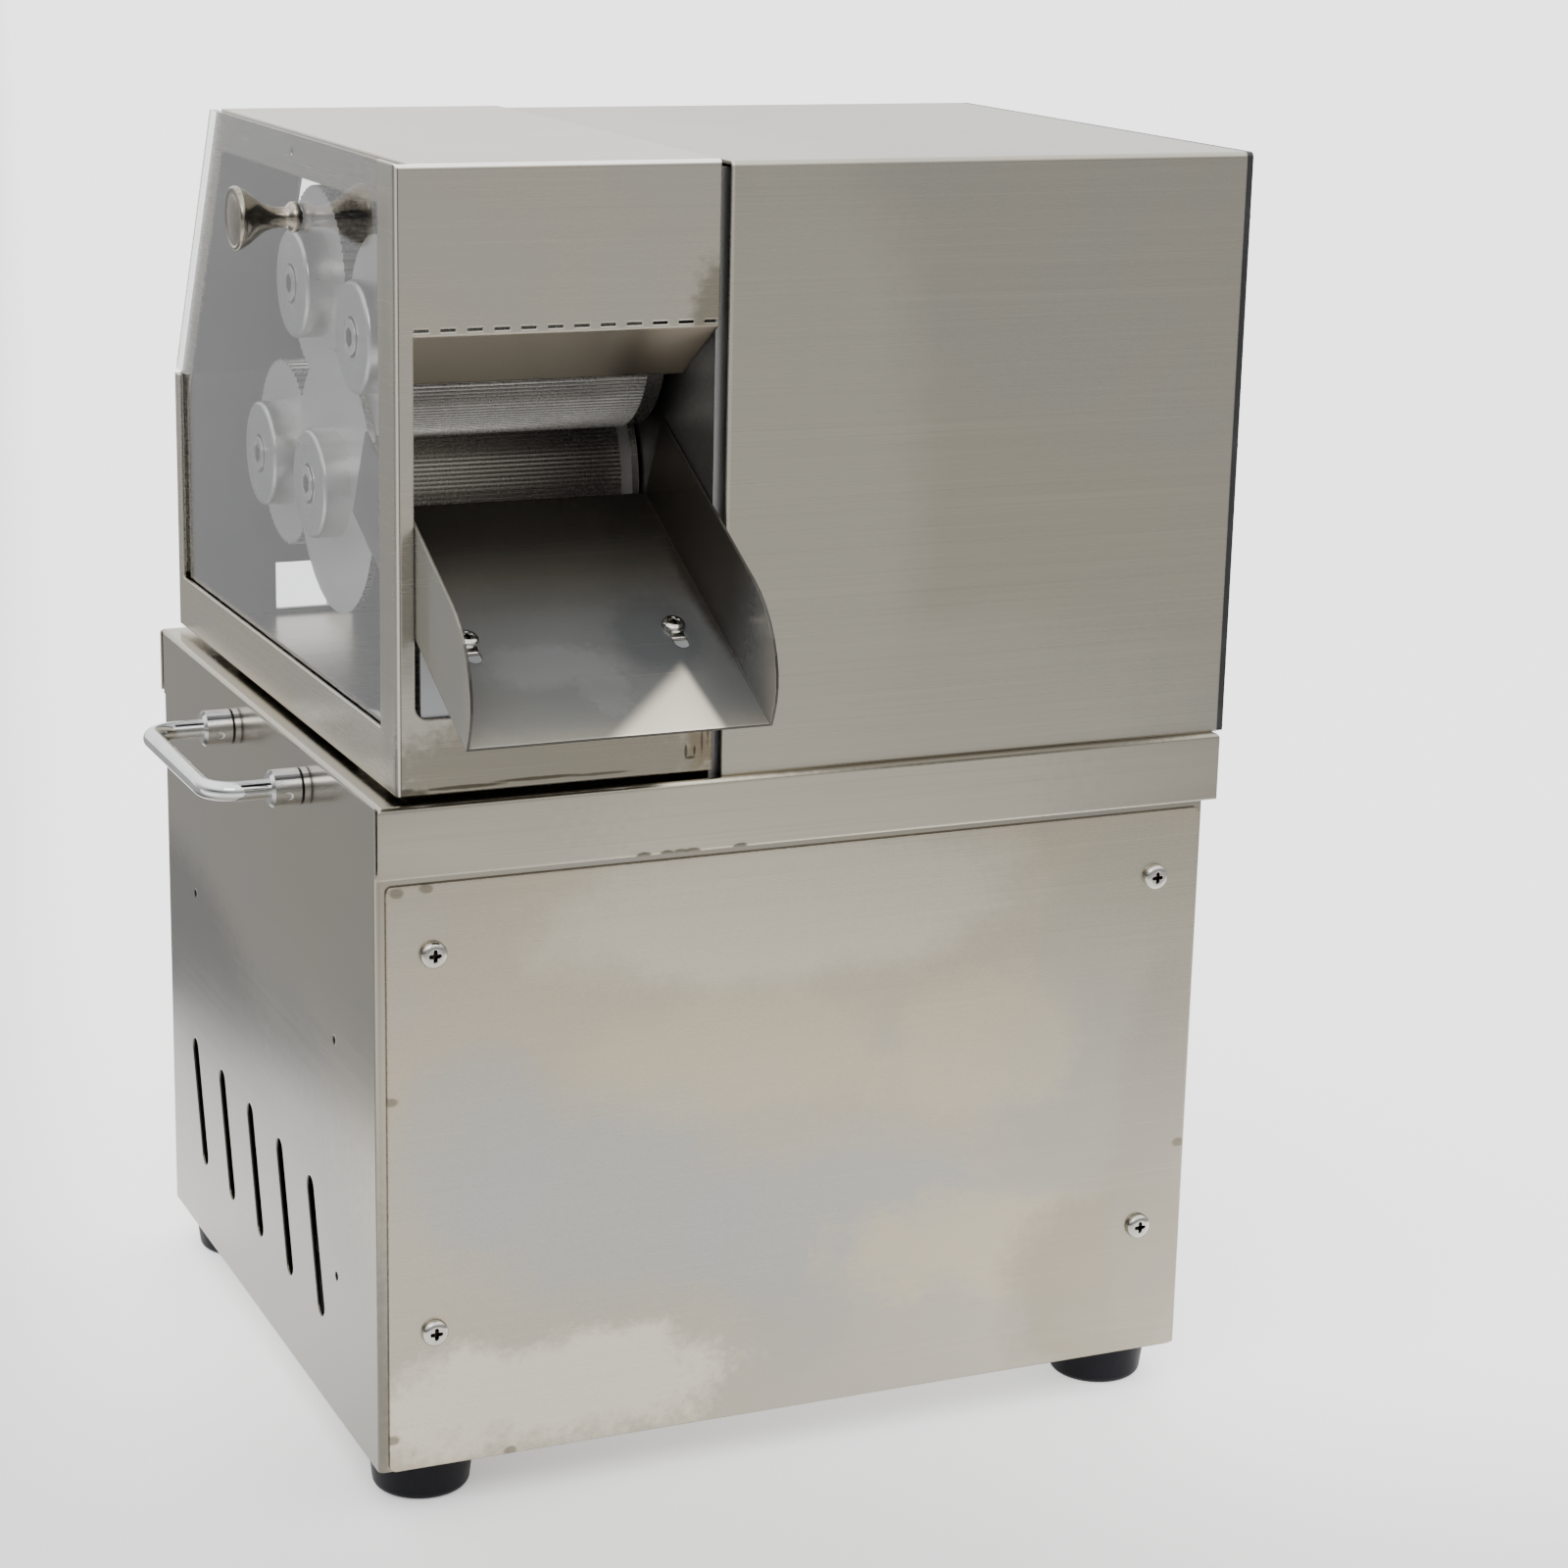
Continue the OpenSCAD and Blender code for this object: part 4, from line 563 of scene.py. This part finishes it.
class JUICER_OT_fasteners(Operator):
    """Cross-recess screws on the panels and the chute, and zinc on the bolts"""
    bl_idname = "juicer.fasteners"
    bl_label = "Add the screws"

    def screw(self, settings, shank):
        """Pan-head screw that points down, with its seat at the origin and its recess marked on the mesh."""
        radius, height = settings.head / 2, settings.height
        profile = [(0.0, -shank), (0.0020, -shank), (0.0029, -shank + 0.0009), (0.0029, 0.0)]
        profile += [(radius * r, height * h) for r, h in (
            (0.96, 0.0), (0.99, 0.04), (1.0, 0.10), (1.0, 0.34), (0.99, 0.46), (0.965, 0.57), (0.925, 0.67),
            (0.87, 0.76), (0.80, 0.84), (0.72, 0.90), (0.63, 0.945), (0.56, 0.965),
        )]
        profile += [(radius * 0.54 * (1 - i / 18), height * (0.97 + 0.03 * i / 18)) for i in range(19)]
        mesh = lathe("screw", profile, settings.segments)
        marks = mesh.attributes.new("recess", "FLOAT", "POINT")
        for i, vert in enumerate(mesh.vertices):
            if vert.co.z < height * 0.9:
                continue
            across, out = sorted((abs(vert.co.x), abs(vert.co.y)))
            width = 0.00075 * (1.15 - 0.35 * out / settings.reach)
            inside = min(1.0, max(0.0, (width * 1.25 - across) / (width * 0.5)))
            inside *= min(1.0, max(0.0, (settings.reach - out) / (settings.reach * 0.25)))
            middle = max(0.0, 1 - math.hypot(across, out) / (settings.reach * 0.5))
            inside = max(inside, min(1.0, 2.5 * middle))
            vert.co.z -= settings.depth * inside
            marks.data[i].value = inside
        smooth(mesh, 40.0)
        return new_object("screw_source", mesh)

    def execute(self, context):
        settings = context.scene.juicer.screw
        dress(worn_metal("bolt_zinc", (0.60, 0.59, 0.56), 0.26, 1500.0, 0.04, 0.3).material,
              "foot_bolts", "knob_screw", "pillar_bolts", "bracket_bolts", "reducer_bolts")
        zinc = worn_metal("screw_zinc", (0.56, 0.545, 0.50), 0.13, 1500.0, 0.03, 0.25)
        # Painted shade: the cross recess is painted near black.
        zinc.set("Base Color", zinc.own("recess").band(0.25, 0.75).mix(zinc.colour, (0.015, 0.013, 0.011)))
        back, front, right = Vector((0, 1, 0)), Vector((0, -1, 0)), Vector((1, 0, 0))
        panel = []
        for x in (25.0, 375.0):
            for z in (84.5, 257.5):
                panel += [(at(x, PANEL_FRONT, z), front), (at(x, PANEL_BACK, z), back)]
        ends = [(at(END_FACE, y, z), right) for y, z in (
            (7.9, 354.5), (7.9, 456.5), (7.9, 559.5), (347.1, 354.5), (346.0, 456.5), (287.8, 559.5))]
        down = 5.5
        level_share, fall_share = math.cos(CHUTE_SLOPE), math.sin(CHUTE_SLOPE)
        up = Vector((0, -fall_share, level_share))
        chute = [(at(x, -down * level_share, CHUTE_FLOOR - down * fall_share), up) for x in CHUTE_SCREWS]
        for name, seats, shank, size in (
            ("panel_screws", panel, 0.010, 1.0),
            ("end_panel_screws", ends, 0.010, 1.0),
            ("chute_screws", chute, 0.007, settings.chute_share),
        ):
            source = self.screw(settings, shank)
            piece = scatter(name + "_cross", source, seats, zinc.material, size)
            bpy.data.objects.remove(source)
            stand_for(piece, name, "machine")
        return {"FINISHED"}


class JUICER_OT_head(Operator):
    """Brushed sheet on the press head, its chute, hopper and spout"""
    bl_idname = "juicer.head"
    bl_label = "Dress the press head"

    def execute(self, context):
        sheet = context.scene.juicer.sheet
        burnt, brown, dull = (0.05, 0.038, 0.025), (0.20, 0.15, 0.095), (0.22, 0.198, 0.162)
        patches = [
            (at(80, 0, 335), (0.100, 0.01, 0.026), dull, 0.8, 0.8),
            (at(152, 0, 520), (0.014, 0.01, 0.030), dull, 0.8, 0.8),
            (at(148, 0, 340), (0.007, 0.01, 0.014), brown, 0.6, 1.2),
            (at(150.3, 0, 350), (0.0007, 0.01, 0.012), burnt, 0.7, 0.5),
            (at(147.6, 0, 342), (0.0006, 0.01, 0.008), burnt, 0.7, 0.5),
            (at(140.2, 0, 336.5), (0.0008, 0.01, 0.0036), burnt, 0.8, 0.4),
            (at(142.4, 0, 333.6), (0.0024, 0.01, 0.0008), burnt, 0.8, 0.4),
            (at(144.2, 0, 336.6), (0.0007, 0.01, 0.0026), burnt, 0.8, 0.4),
            (at(10, 12, 440), (0.003, 0.012, 0.130), (0.36, 0.34, 0.30), 0.7, 0.4),
            (at(16, 157, 580.5), (0.006, 0.0028, 0.0028), (0.03, 0.03, 0.03), 1.0, 0.0),
            (at(14, 0, 328), (0.010, 0.02, 0.0030), burnt, 0.7, 0.9),
            (at(40, 0, 329.5), (0.020, 0.01, 0.0010), burnt, 0.8, 0.5),
            (at(72, 0, 330.5), (0.022, 0.01, 0.0009), burnt, 0.8, 0.6),
            (at(100, 0, 330.0), (0.016, 0.01, 0.0007), burnt, 0.7, 0.6),
        ]
        patches += [(at(x, -13, 388), (0.012, 0.014, 0.012), (0.10, 0.095, 0.088), 0.95, 0.0)
                    for x in CHUTE_SCREWS]
        look = sheet_look("head_sheet", sheet, tint=1.2, warmth=0.02, shift=0.3, patches=patches)
        across, front, rise = look.facing.split()
        # Painted highlight and painted dark reflection stripes along the rounded front-left corner of the
        # head, chosen by the facing of the fold.
        edge = look.inside(at(5, -5, 300), at(15, 4, 600))
        colour = look.colour
        for painted_reflection_line, tint in (
            (across.ridge(-0.75, -0.6, -0.45, -0.3), (0.85, 0.81, 0.74)),
            (across.ridge(-0.4, -0.28, -0.16, -0.08, 0.8), (0.10, 0.092, 0.08)),
            (across.ridge(-0.98, -0.9, -0.85, -0.7, 0.8), (0.12, 0.11, 0.10)),
        ):
            colour = (edge * painted_reflection_line).mix(colour, tint)
        # Painted highlight along the top front fold of the head.
        colour = (rise.band(0.25, 0.45) * front.band(-0.45, -0.25, 1.0, 0.0)).mix(colour, (0.98, 0.96, 0.92))
        x, y, z = look.place.split()
        knee = at(0, *HEAD_KNEE)
        beyond = (y - knee.y) * HEAD_SLOPE[0] + (z - knee.z) * HEAD_SLOPE[1]
        chamber = look.inside(at(19.0, 0.75, 330), at(170, HEAD_KNEE[0], 588.7))
        inner = chamber * beyond.band(-0.0004, 0.0004, 1.0, 0.0)
        haze = look.place.noise(14.0, 2.0).band(0.3, 0.7)
        colour = inner.mix(colour, haze.mix((0.36, 0.365, 0.375), (0.42, 0.425, 0.435)))
        # Painted shade: the downward faces of the flap are painted dark brown-grey, darker still towards its
        # right end.
        flap = look.inside(at(10, -2, 488), at(160, 30, 521)) * rise.band(-0.35, -0.2, 1.0, 0.0)
        shade = x.band(at(104, 0, 0).x, at(120, 0, 0).x)
        look.set("Base Color", flap.mix(colour, shade.mix((0.375, 0.33, 0.265), (0.19, 0.163, 0.125))))
        plain = 1.0 - inner * 0.95
        look.set("Roughness", look.rough * plain + inner * 0.30)
        look.set("Normal", (look.brush * plain).bump(0.035, 0.0002, look.edges))
        dress(look.material, "head_shell", "chamber_floor", "feed_hopper", "juice_spout", "chute_bracket")
        chute = [
            (at(85, -18, 390), (0.2, 0.056, 0.2), (0.178, 0.180, 0.186), 1.0, 0.3),
            (at(70, -24, 388), (0.034, 0.016, 0.03), (0.27, 0.28, 0.295), 0.5, 1.4),
            (at(88, -36, 381), (0.012, 0.022, 0.03), (0.25, 0.255, 0.26), 0.4, 1.2),
            (at(122, -10, 392), (0.022, 0.026, 0.05), (0.105, 0.11, 0.122), 0.7, 1.1),
            # Painted shade: the chute is darker where it runs in under the head, and on its right wall.
            (at(85, 85, 436), (0.2, 0.085, 0.2), (0.085, 0.079, 0.07), 1.0, 0.15),
            (at(85, 97, 444), (0.2, 0.062, 0.2), (0.035, 0.031, 0.027), 1.0, 0.1),
            (at(155, 14, 425), (0.010, 0.075, 0.080), (0.05, 0.043, 0.036), 0.9, 0.3),
            (at(19.5, -35, 385), (0.0016, 0.120, 0.120), (0.20, 0.186, 0.162), 0.9, 0.1),
        ]
        look = sheet_look("chute_sheet", sheet, tint=0.82, warmth=0.03, rough=-0.03, shift=2.1, brushed=0.35,
                          patches=chute)
        across, _, rise = look.facing.split()
        x, y, _ = look.place.split()
        # Painted reflection: a pale beige triangle of light on the chute floor near its front right.
        tip = at(127.5, -24.0, 383)
        beside, ahead = x - tip.x, y - tip.y
        painted_reflection_wedge = (beside * 0.6395 - ahead * 0.7688).band(-0.001, 0.008)
        painted_reflection_wedge = painted_reflection_wedge * (beside * -0.995 - ahead * 0.1).band(-0.001, 0.004) * rise.band(0.5, 0.7)
        colour = painted_reflection_wedge.mix(look.colour, (1.0, 0.92, 0.78))
        # Painted shade: near black on the chute's faces that face neither sideways nor up, and along the top
        # of its right wall.
        rim = abs(across).band(0.3, 0.6, 1.0, 0.0)
        rim = rim * rise.band(0.55, 0.75, 1.0, 0.0).high(x.band(at(150.4, 0, 0).x, at(150.8, 0, 0).x))
        look.set("Base Color", rim.mix(colour, (0.05, 0.045, 0.04)))
        look.set("Metallic", 0.5)
        dress(look.material, "discharge_chute")
        return {"FINISHED"}


class JUICER_OT_window(Operator):
    """Clear window panel with its turned knob"""
    bl_idname = "juicer.window"
    bl_label = "Dress the window"

    def execute(self, context):
        clear = tuple(context.scene.juicer.window.tint)
        hazy = tuple(c * 0.97 for c in clear)
        look = Look("window_acrylic", roughness=0.0, ior=1.49, transmission_weight=1.0)
        smear = look.place.noise(9.0, 3.0)
        look.set("Base Color", smear.band(0.3, 0.7).mix(clear, hazy))
        dress(look.material, "window_panel")
        nickel = worn_metal("knob_nickel", (0.36, 0.325, 0.27), 0.15, 700.0, 0.04, 0.45).material
        radius, length = 0.014, 0.030
        shares = [
            (0.0, 0.0), (0.42, 0.0), (0.46, 0.02), (0.48, 0.05), (0.49, 0.08), (0.48, 0.11), (0.44, 0.14),
            (0.38, 0.165), (0.335, 0.19), (0.322, 0.23), (0.318, 0.28), (0.325, 0.34), (0.345, 0.40),
            (0.385, 0.46), (0.44, 0.52), (0.515, 0.58), (0.60, 0.635), (0.69, 0.69), (0.775, 0.74),
            (0.85, 0.79), (0.91, 0.84), (0.94, 0.87), (0.955, 0.885), (0.975, 0.895), (0.995, 0.915),
            (1.0, 0.935), (0.995, 0.955), (0.975, 0.975), (0.94, 0.985), (0.90, 0.985), (0.86, 0.975),
            (0.82, 0.972), (0.74, 0.978), (0.55, 0.99), (0.3, 0.998), (0.0, 1.0),
        ]
        aim = Matrix.Translation(at(*KNOB_SEAT)) @ Matrix.Rotation(-math.pi / 2, 4, "Y")
        mesh = lathe("knob", [(r * radius, h * length) for r, h in shares], 72, aim)
        smooth(mesh, 50.0)
        piece = new_object("turned_knob", mesh, nickel)
        stand_for(piece, "window_knob", "window")
        return {"FINISHED"}


class JUICER_OT_rollers(Operator):
    """Machined steel on the rollers, caps and shafts"""
    bl_idname = "juicer.rollers"
    bl_label = "Dress the rollers"

    def execute(self, context):
        caps = worn_metal("cap_steel", (0.62, 0.615, 0.60), 0.30, 1100.0, 0.06, 0.12).material
        lit_steel, shadowed_steel, groove_shade = (0.46, 0.435, 0.385), (0.17, 0.157, 0.138), (0.10, 0.095, 0.085)
        for unit, turn, radius, depth in (
            ("main", None, 45.48, 1.6), ("top", 67.5, 43.48, 1.6),
            ("front", 127.5, 43.48, 0.7), ("rear", -1.0, 43.48, 1.6),
        ):
            y, z = MAIN_ROLLER
            if turn is not None:
                y += ROLLER_GAP * math.cos(math.radians(turn))
                z += ROLLER_GAP * math.sin(math.radians(turn))
            steel = worn_metal(unit + "_roller_steel", (0.66, 0.64, 0.60), 0.26, 600.0, 0.06, 0.18)
            size = radius / 1000
            out = steel.place.away(at(0, y, z), (90.0, size, size))
            crest = out.band(1 - depth / radius, 1 - 0.2 * depth / radius)
            # Painted shade in the grooves and, on the main roller, a painted shadow that darkens the crests
            # towards the right.
            crest_colour = steel.colour
            if unit == "main":
                crest_colour = steel.place.split()[0].band(-0.18, -0.07).mix(lit_steel, shadowed_steel)
            end = steel.facing.split()[0].band(-0.9, -0.7, 1.0, 0.0)
            steel.set("Base Color", end.mix(crest.mix(groove_shade, crest_colour), (0.70, 0.69, 0.67)))
            steel.set("Metallic", 0.6)
            steel.set("Roughness", steel.rough * (1.0 - end) + end * 0.3)
            steel.set("Normal", (steel.grit * (1.0 - end)).bump(0.06, 0.0002))
            dress(steel.material, unit + "_roller")
            dress(caps, unit + "_cap", unit + "_shaft")
            bolt = worn_metal(unit + "_bolt_steel", (0.78, 0.77, 0.75), 0.18, 1100.0, 0.04, 0.2)
            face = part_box(unit + "_cap_bolt")[0][0]
            hole = 0.0048
            # Painted shade: the socket in the bolt head is painted near black.
            socket = bolt.place.away(at(0, y, z), (90.0, hole, hole)).band(0.95, 1.0, 1.0, 0.0)
            socket = socket * bolt.place.split()[0].band(face + 0.0004, face + 0.0012)
            bolt.set("Base Color", socket.mix(bolt.colour, (0.02, 0.02, 0.02)))
            dress(bolt.material, unit + "_cap_bolt")
        return {"FINISHED"}


class JUICER_OT_drive(Operator):
    """Machined and painted metal on the hidden drive"""
    bl_idname = "juicer.drive"
    bl_label = "Dress the drive"

    def execute(self, context):
        gears = worn_metal("gear_steel", (0.40, 0.40, 0.41), 0.34).material
        plates = worn_metal("plate_steel", (0.36, 0.36, 0.355), 0.36, 500.0).material
        for unit in ("main", "top", "front", "rear"):
            dress(gears, unit + "_gear")
        dress(plates, "chamber_plate", "outer_plate", "plate_pillars", "plate_bracket")
        dress(worn_metal("bearing_steel", (0.70, 0.70, 0.71), 0.2).material, "shaft_bearings")
        dress(worn_metal("reducer_casting", (0.48, 0.49, 0.50), 0.5, 350.0, 0.3).material, "reducer")
        dress(dark_finish("motor_paint", (0.03, 0.04, 0.05), 0.4), "motor")
        return {"FINISHED"}


class JUICER_OT_housing(Operator):
    """Brushed motor cover, black end panel, switch and inlet"""
    bl_idname = "juicer.housing"
    bl_label = "Dress the motor housing"

    def execute(self, context):
        sheet = context.scene.juicer.sheet
        # The first patch is a painted highlight along the cover's left fold.
        pale = [(at(157.3, COVER_FRONT, 480), (0.0009, 0.01, 0.130), (0.92, 0.90, 0.85), 0.85, 0.1),
                (at(185, COVER_FRONT, 450), (0.07, 1, 0.18), (0.44, 0.413, 0.363), 0.8, 0.6),
                (at(260, COVER_FRONT, 345), (0.13, 1, 0.05), (0.42, 0.392, 0.342), 0.7, 0.8)]
        cover = sheet_look("cover_sheet", sheet, tint=0.925, warmth=0.01, rough=0.02, shift=-2.6,
                           patches=pale)
        dress(cover.material, "motor_cover")
        dress(dark_finish("end_paint", (0.010, 0.010, 0.011), 0.38, 800.0, 0.1), "end_panel")
        dress(dark_finish("switch_plastic", (0.014, 0.014, 0.015), 0.45), "switch_body", "power_inlet")
        dress(dark_finish("rocker_plastic", (0.018, 0.018, 0.019), 0.30), "switch_rocker")
        return {"FINISHED"}


class JUICER_OT_stage(Operator):
    """Pale floor with a painted pool of light and a painted glow, soft lights and the camera"""
    bl_idname = "juicer.stage"
    bl_label = "Set the stage"

    def light(self, name, place, target, size, power, colour):
        data = bpy.data.lights.new(name, "AREA")
        data.shape = "RECTANGLE"
        data.size, data.size_y = size
        data.energy = power
        data.color = colour
        made = bpy.data.objects.new(name, data)
        made.location = place
        made.rotation_euler = (Vector(target) - Vector(place)).to_track_quat("-Z", "Y").to_euler()
        bpy.context.scene.collection.objects.link(made)

    def execute(self, context):
        scene = context.scene
        settings = scene.juicer.stage
        mesh = bpy.data.meshes.new("floor")
        reach = 30
        corners = [(-reach, -reach, 0), (reach, -reach, 0), (reach, reach, 0), (-reach, reach, 0)]
        mesh.from_pydata(corners, [], [(0, 1, 2, 3)])
        look = Look("floor_paint", roughness=0.7)
        x, y, _ = look.place.split()
        # The floor is painted as a pool of light: pale where the camera sees it, darker beside that, where
        # only the steel mirrors it, and darker still on the left, painted shade.
        sight, spread = (0.407, 0.913), 0.22
        beside = x * sight[1] - y * sight[0]
        ahead = x * sight[0] + y * sight[1]
        past_right, past_left = beside - ahead * spread, beside + ahead * spread
        lit = ahead.band(-1.4, -0.3) * past_right.band(0.55, 1.2, 1.0, 0.0)
        left = past_left.band(-0.44, -0.375).high(ahead.band(-0.35, 0.0, 1.0, 0.0))
        tint = tuple(settings.floor)
        colour = lit.mix(tuple(c * settings.shade for c in tint), tint)
        look.set("Base Color", left.mix(tuple(c * settings.shade * 0.6 for c in tint), colour))
        # Painted glow: the floor gives light behind the machine, though it is no lamp.
        glow = ahead.band(-0.34, -0.02) * past_right.band(0.6, 1.2, 1.0, 0.0) * past_left.band(-0.40, -0.25)
        black, white = (0.0, 0.0, 0.0), (1.0, 1.0, 1.0)
        look.set("Emission Color", glow.mix(black, white))
        look.set("Emission Strength", settings.glow)
        floor = new_object("floor", mesh, look.material)
        world = bpy.data.worlds.new("studio")
        world.use_nodes = True
        scene.world = world
        tree = world.node_tree
        x, y, z = Sock.made(tree, "ShaderNodeTexCoord", out="Generated").split()
        around = y.band(-0.3, 0.4, 0.22, 0.8) * x.band(-0.95, -0.2, 0.35, 1.0)
        level = z.band(0.15, 0.75) * (1.0 - around) + around
        backdrop = tree.nodes["Background"]
        tree.links.new(level.mix(black, white).out, backdrop.inputs["Color"])
        backdrop.inputs["Strength"].default_value = settings.sky
        self.light("key", (-1.4, -2.4, 2.6), (0, 0, 0.3), (1.6, 1.2), settings.key, (1.0, 0.98, 0.95))
        data = bpy.data.cameras.new("camera")
        data.lens = settings.lens
        data.sensor_width = 36.0
        data.clip_end = 50.0
        camera = bpy.data.objects.new("camera", data)
        scene.collection.objects.link(camera)
        ahead = Vector((0.3936, 0.8822, -0.2584)).normalized()
        right = Vector((0.9154, -0.4020, 0.0217))
        right = (right - ahead * right.dot(ahead)).normalized()
        up = right.cross(ahead)
        turn = Matrix((right, up, -ahead)).transposed().to_4x4()
        camera.matrix_world = Matrix.Translation(at(-428.9, -1380.3, 722.1)) @ turn
        scene.camera = camera
        return {"FINISHED"}


class JUICER_PT_sidebar(Panel):
    bl_idname = "JUICER_PT_sidebar"
    bl_label = "Juicer"
    bl_space_type = "VIEW_3D"
    bl_region_type = "UI"
    bl_category = "Juicer"

    def draw(self, context):
        settings = context.scene.juicer
        for group in (settings.sheet, settings.screw, settings.window, settings.stage):
            box = self.layout.box()
            for name in group.bl_rna.properties.keys():
                if name not in ("rna_type", "name"):
                    box.prop(group, name)
        for piece in PIECES:
            self.layout.operator(piece.bl_idname)


PIECES = (
    JUICER_OT_stage, JUICER_OT_cabinet, JUICER_OT_handles, JUICER_OT_fasteners, JUICER_OT_head,
    JUICER_OT_window, JUICER_OT_rollers, JUICER_OT_drive, JUICER_OT_housing,
)
CLASSES = (
    SheetSettings, ScrewSettings, WindowSettings, StageSettings, JuicerSettings, *PIECES, JUICER_PT_sidebar,
)


def register():
    for item in CLASSES:
        bpy.utils.register_class(item)
    bpy.types.Scene.juicer = PointerProperty(type=JuicerSettings)


def unregister():
    del bpy.types.Scene.juicer
    for item in reversed(CLASSES):
        bpy.utils.unregister_class(item)


def main():
    register()
    bpy.ops.juicer.stage()
    bpy.ops.juicer.cabinet()
    bpy.ops.juicer.handles()
    bpy.ops.juicer.fasteners()
    bpy.ops.juicer.head()
    bpy.ops.juicer.window()
    bpy.ops.juicer.rollers()
    bpy.ops.juicer.drive()
    bpy.ops.juicer.housing()
    bpy.context.view_layer.update()


if __name__ == "__main__":
    main()
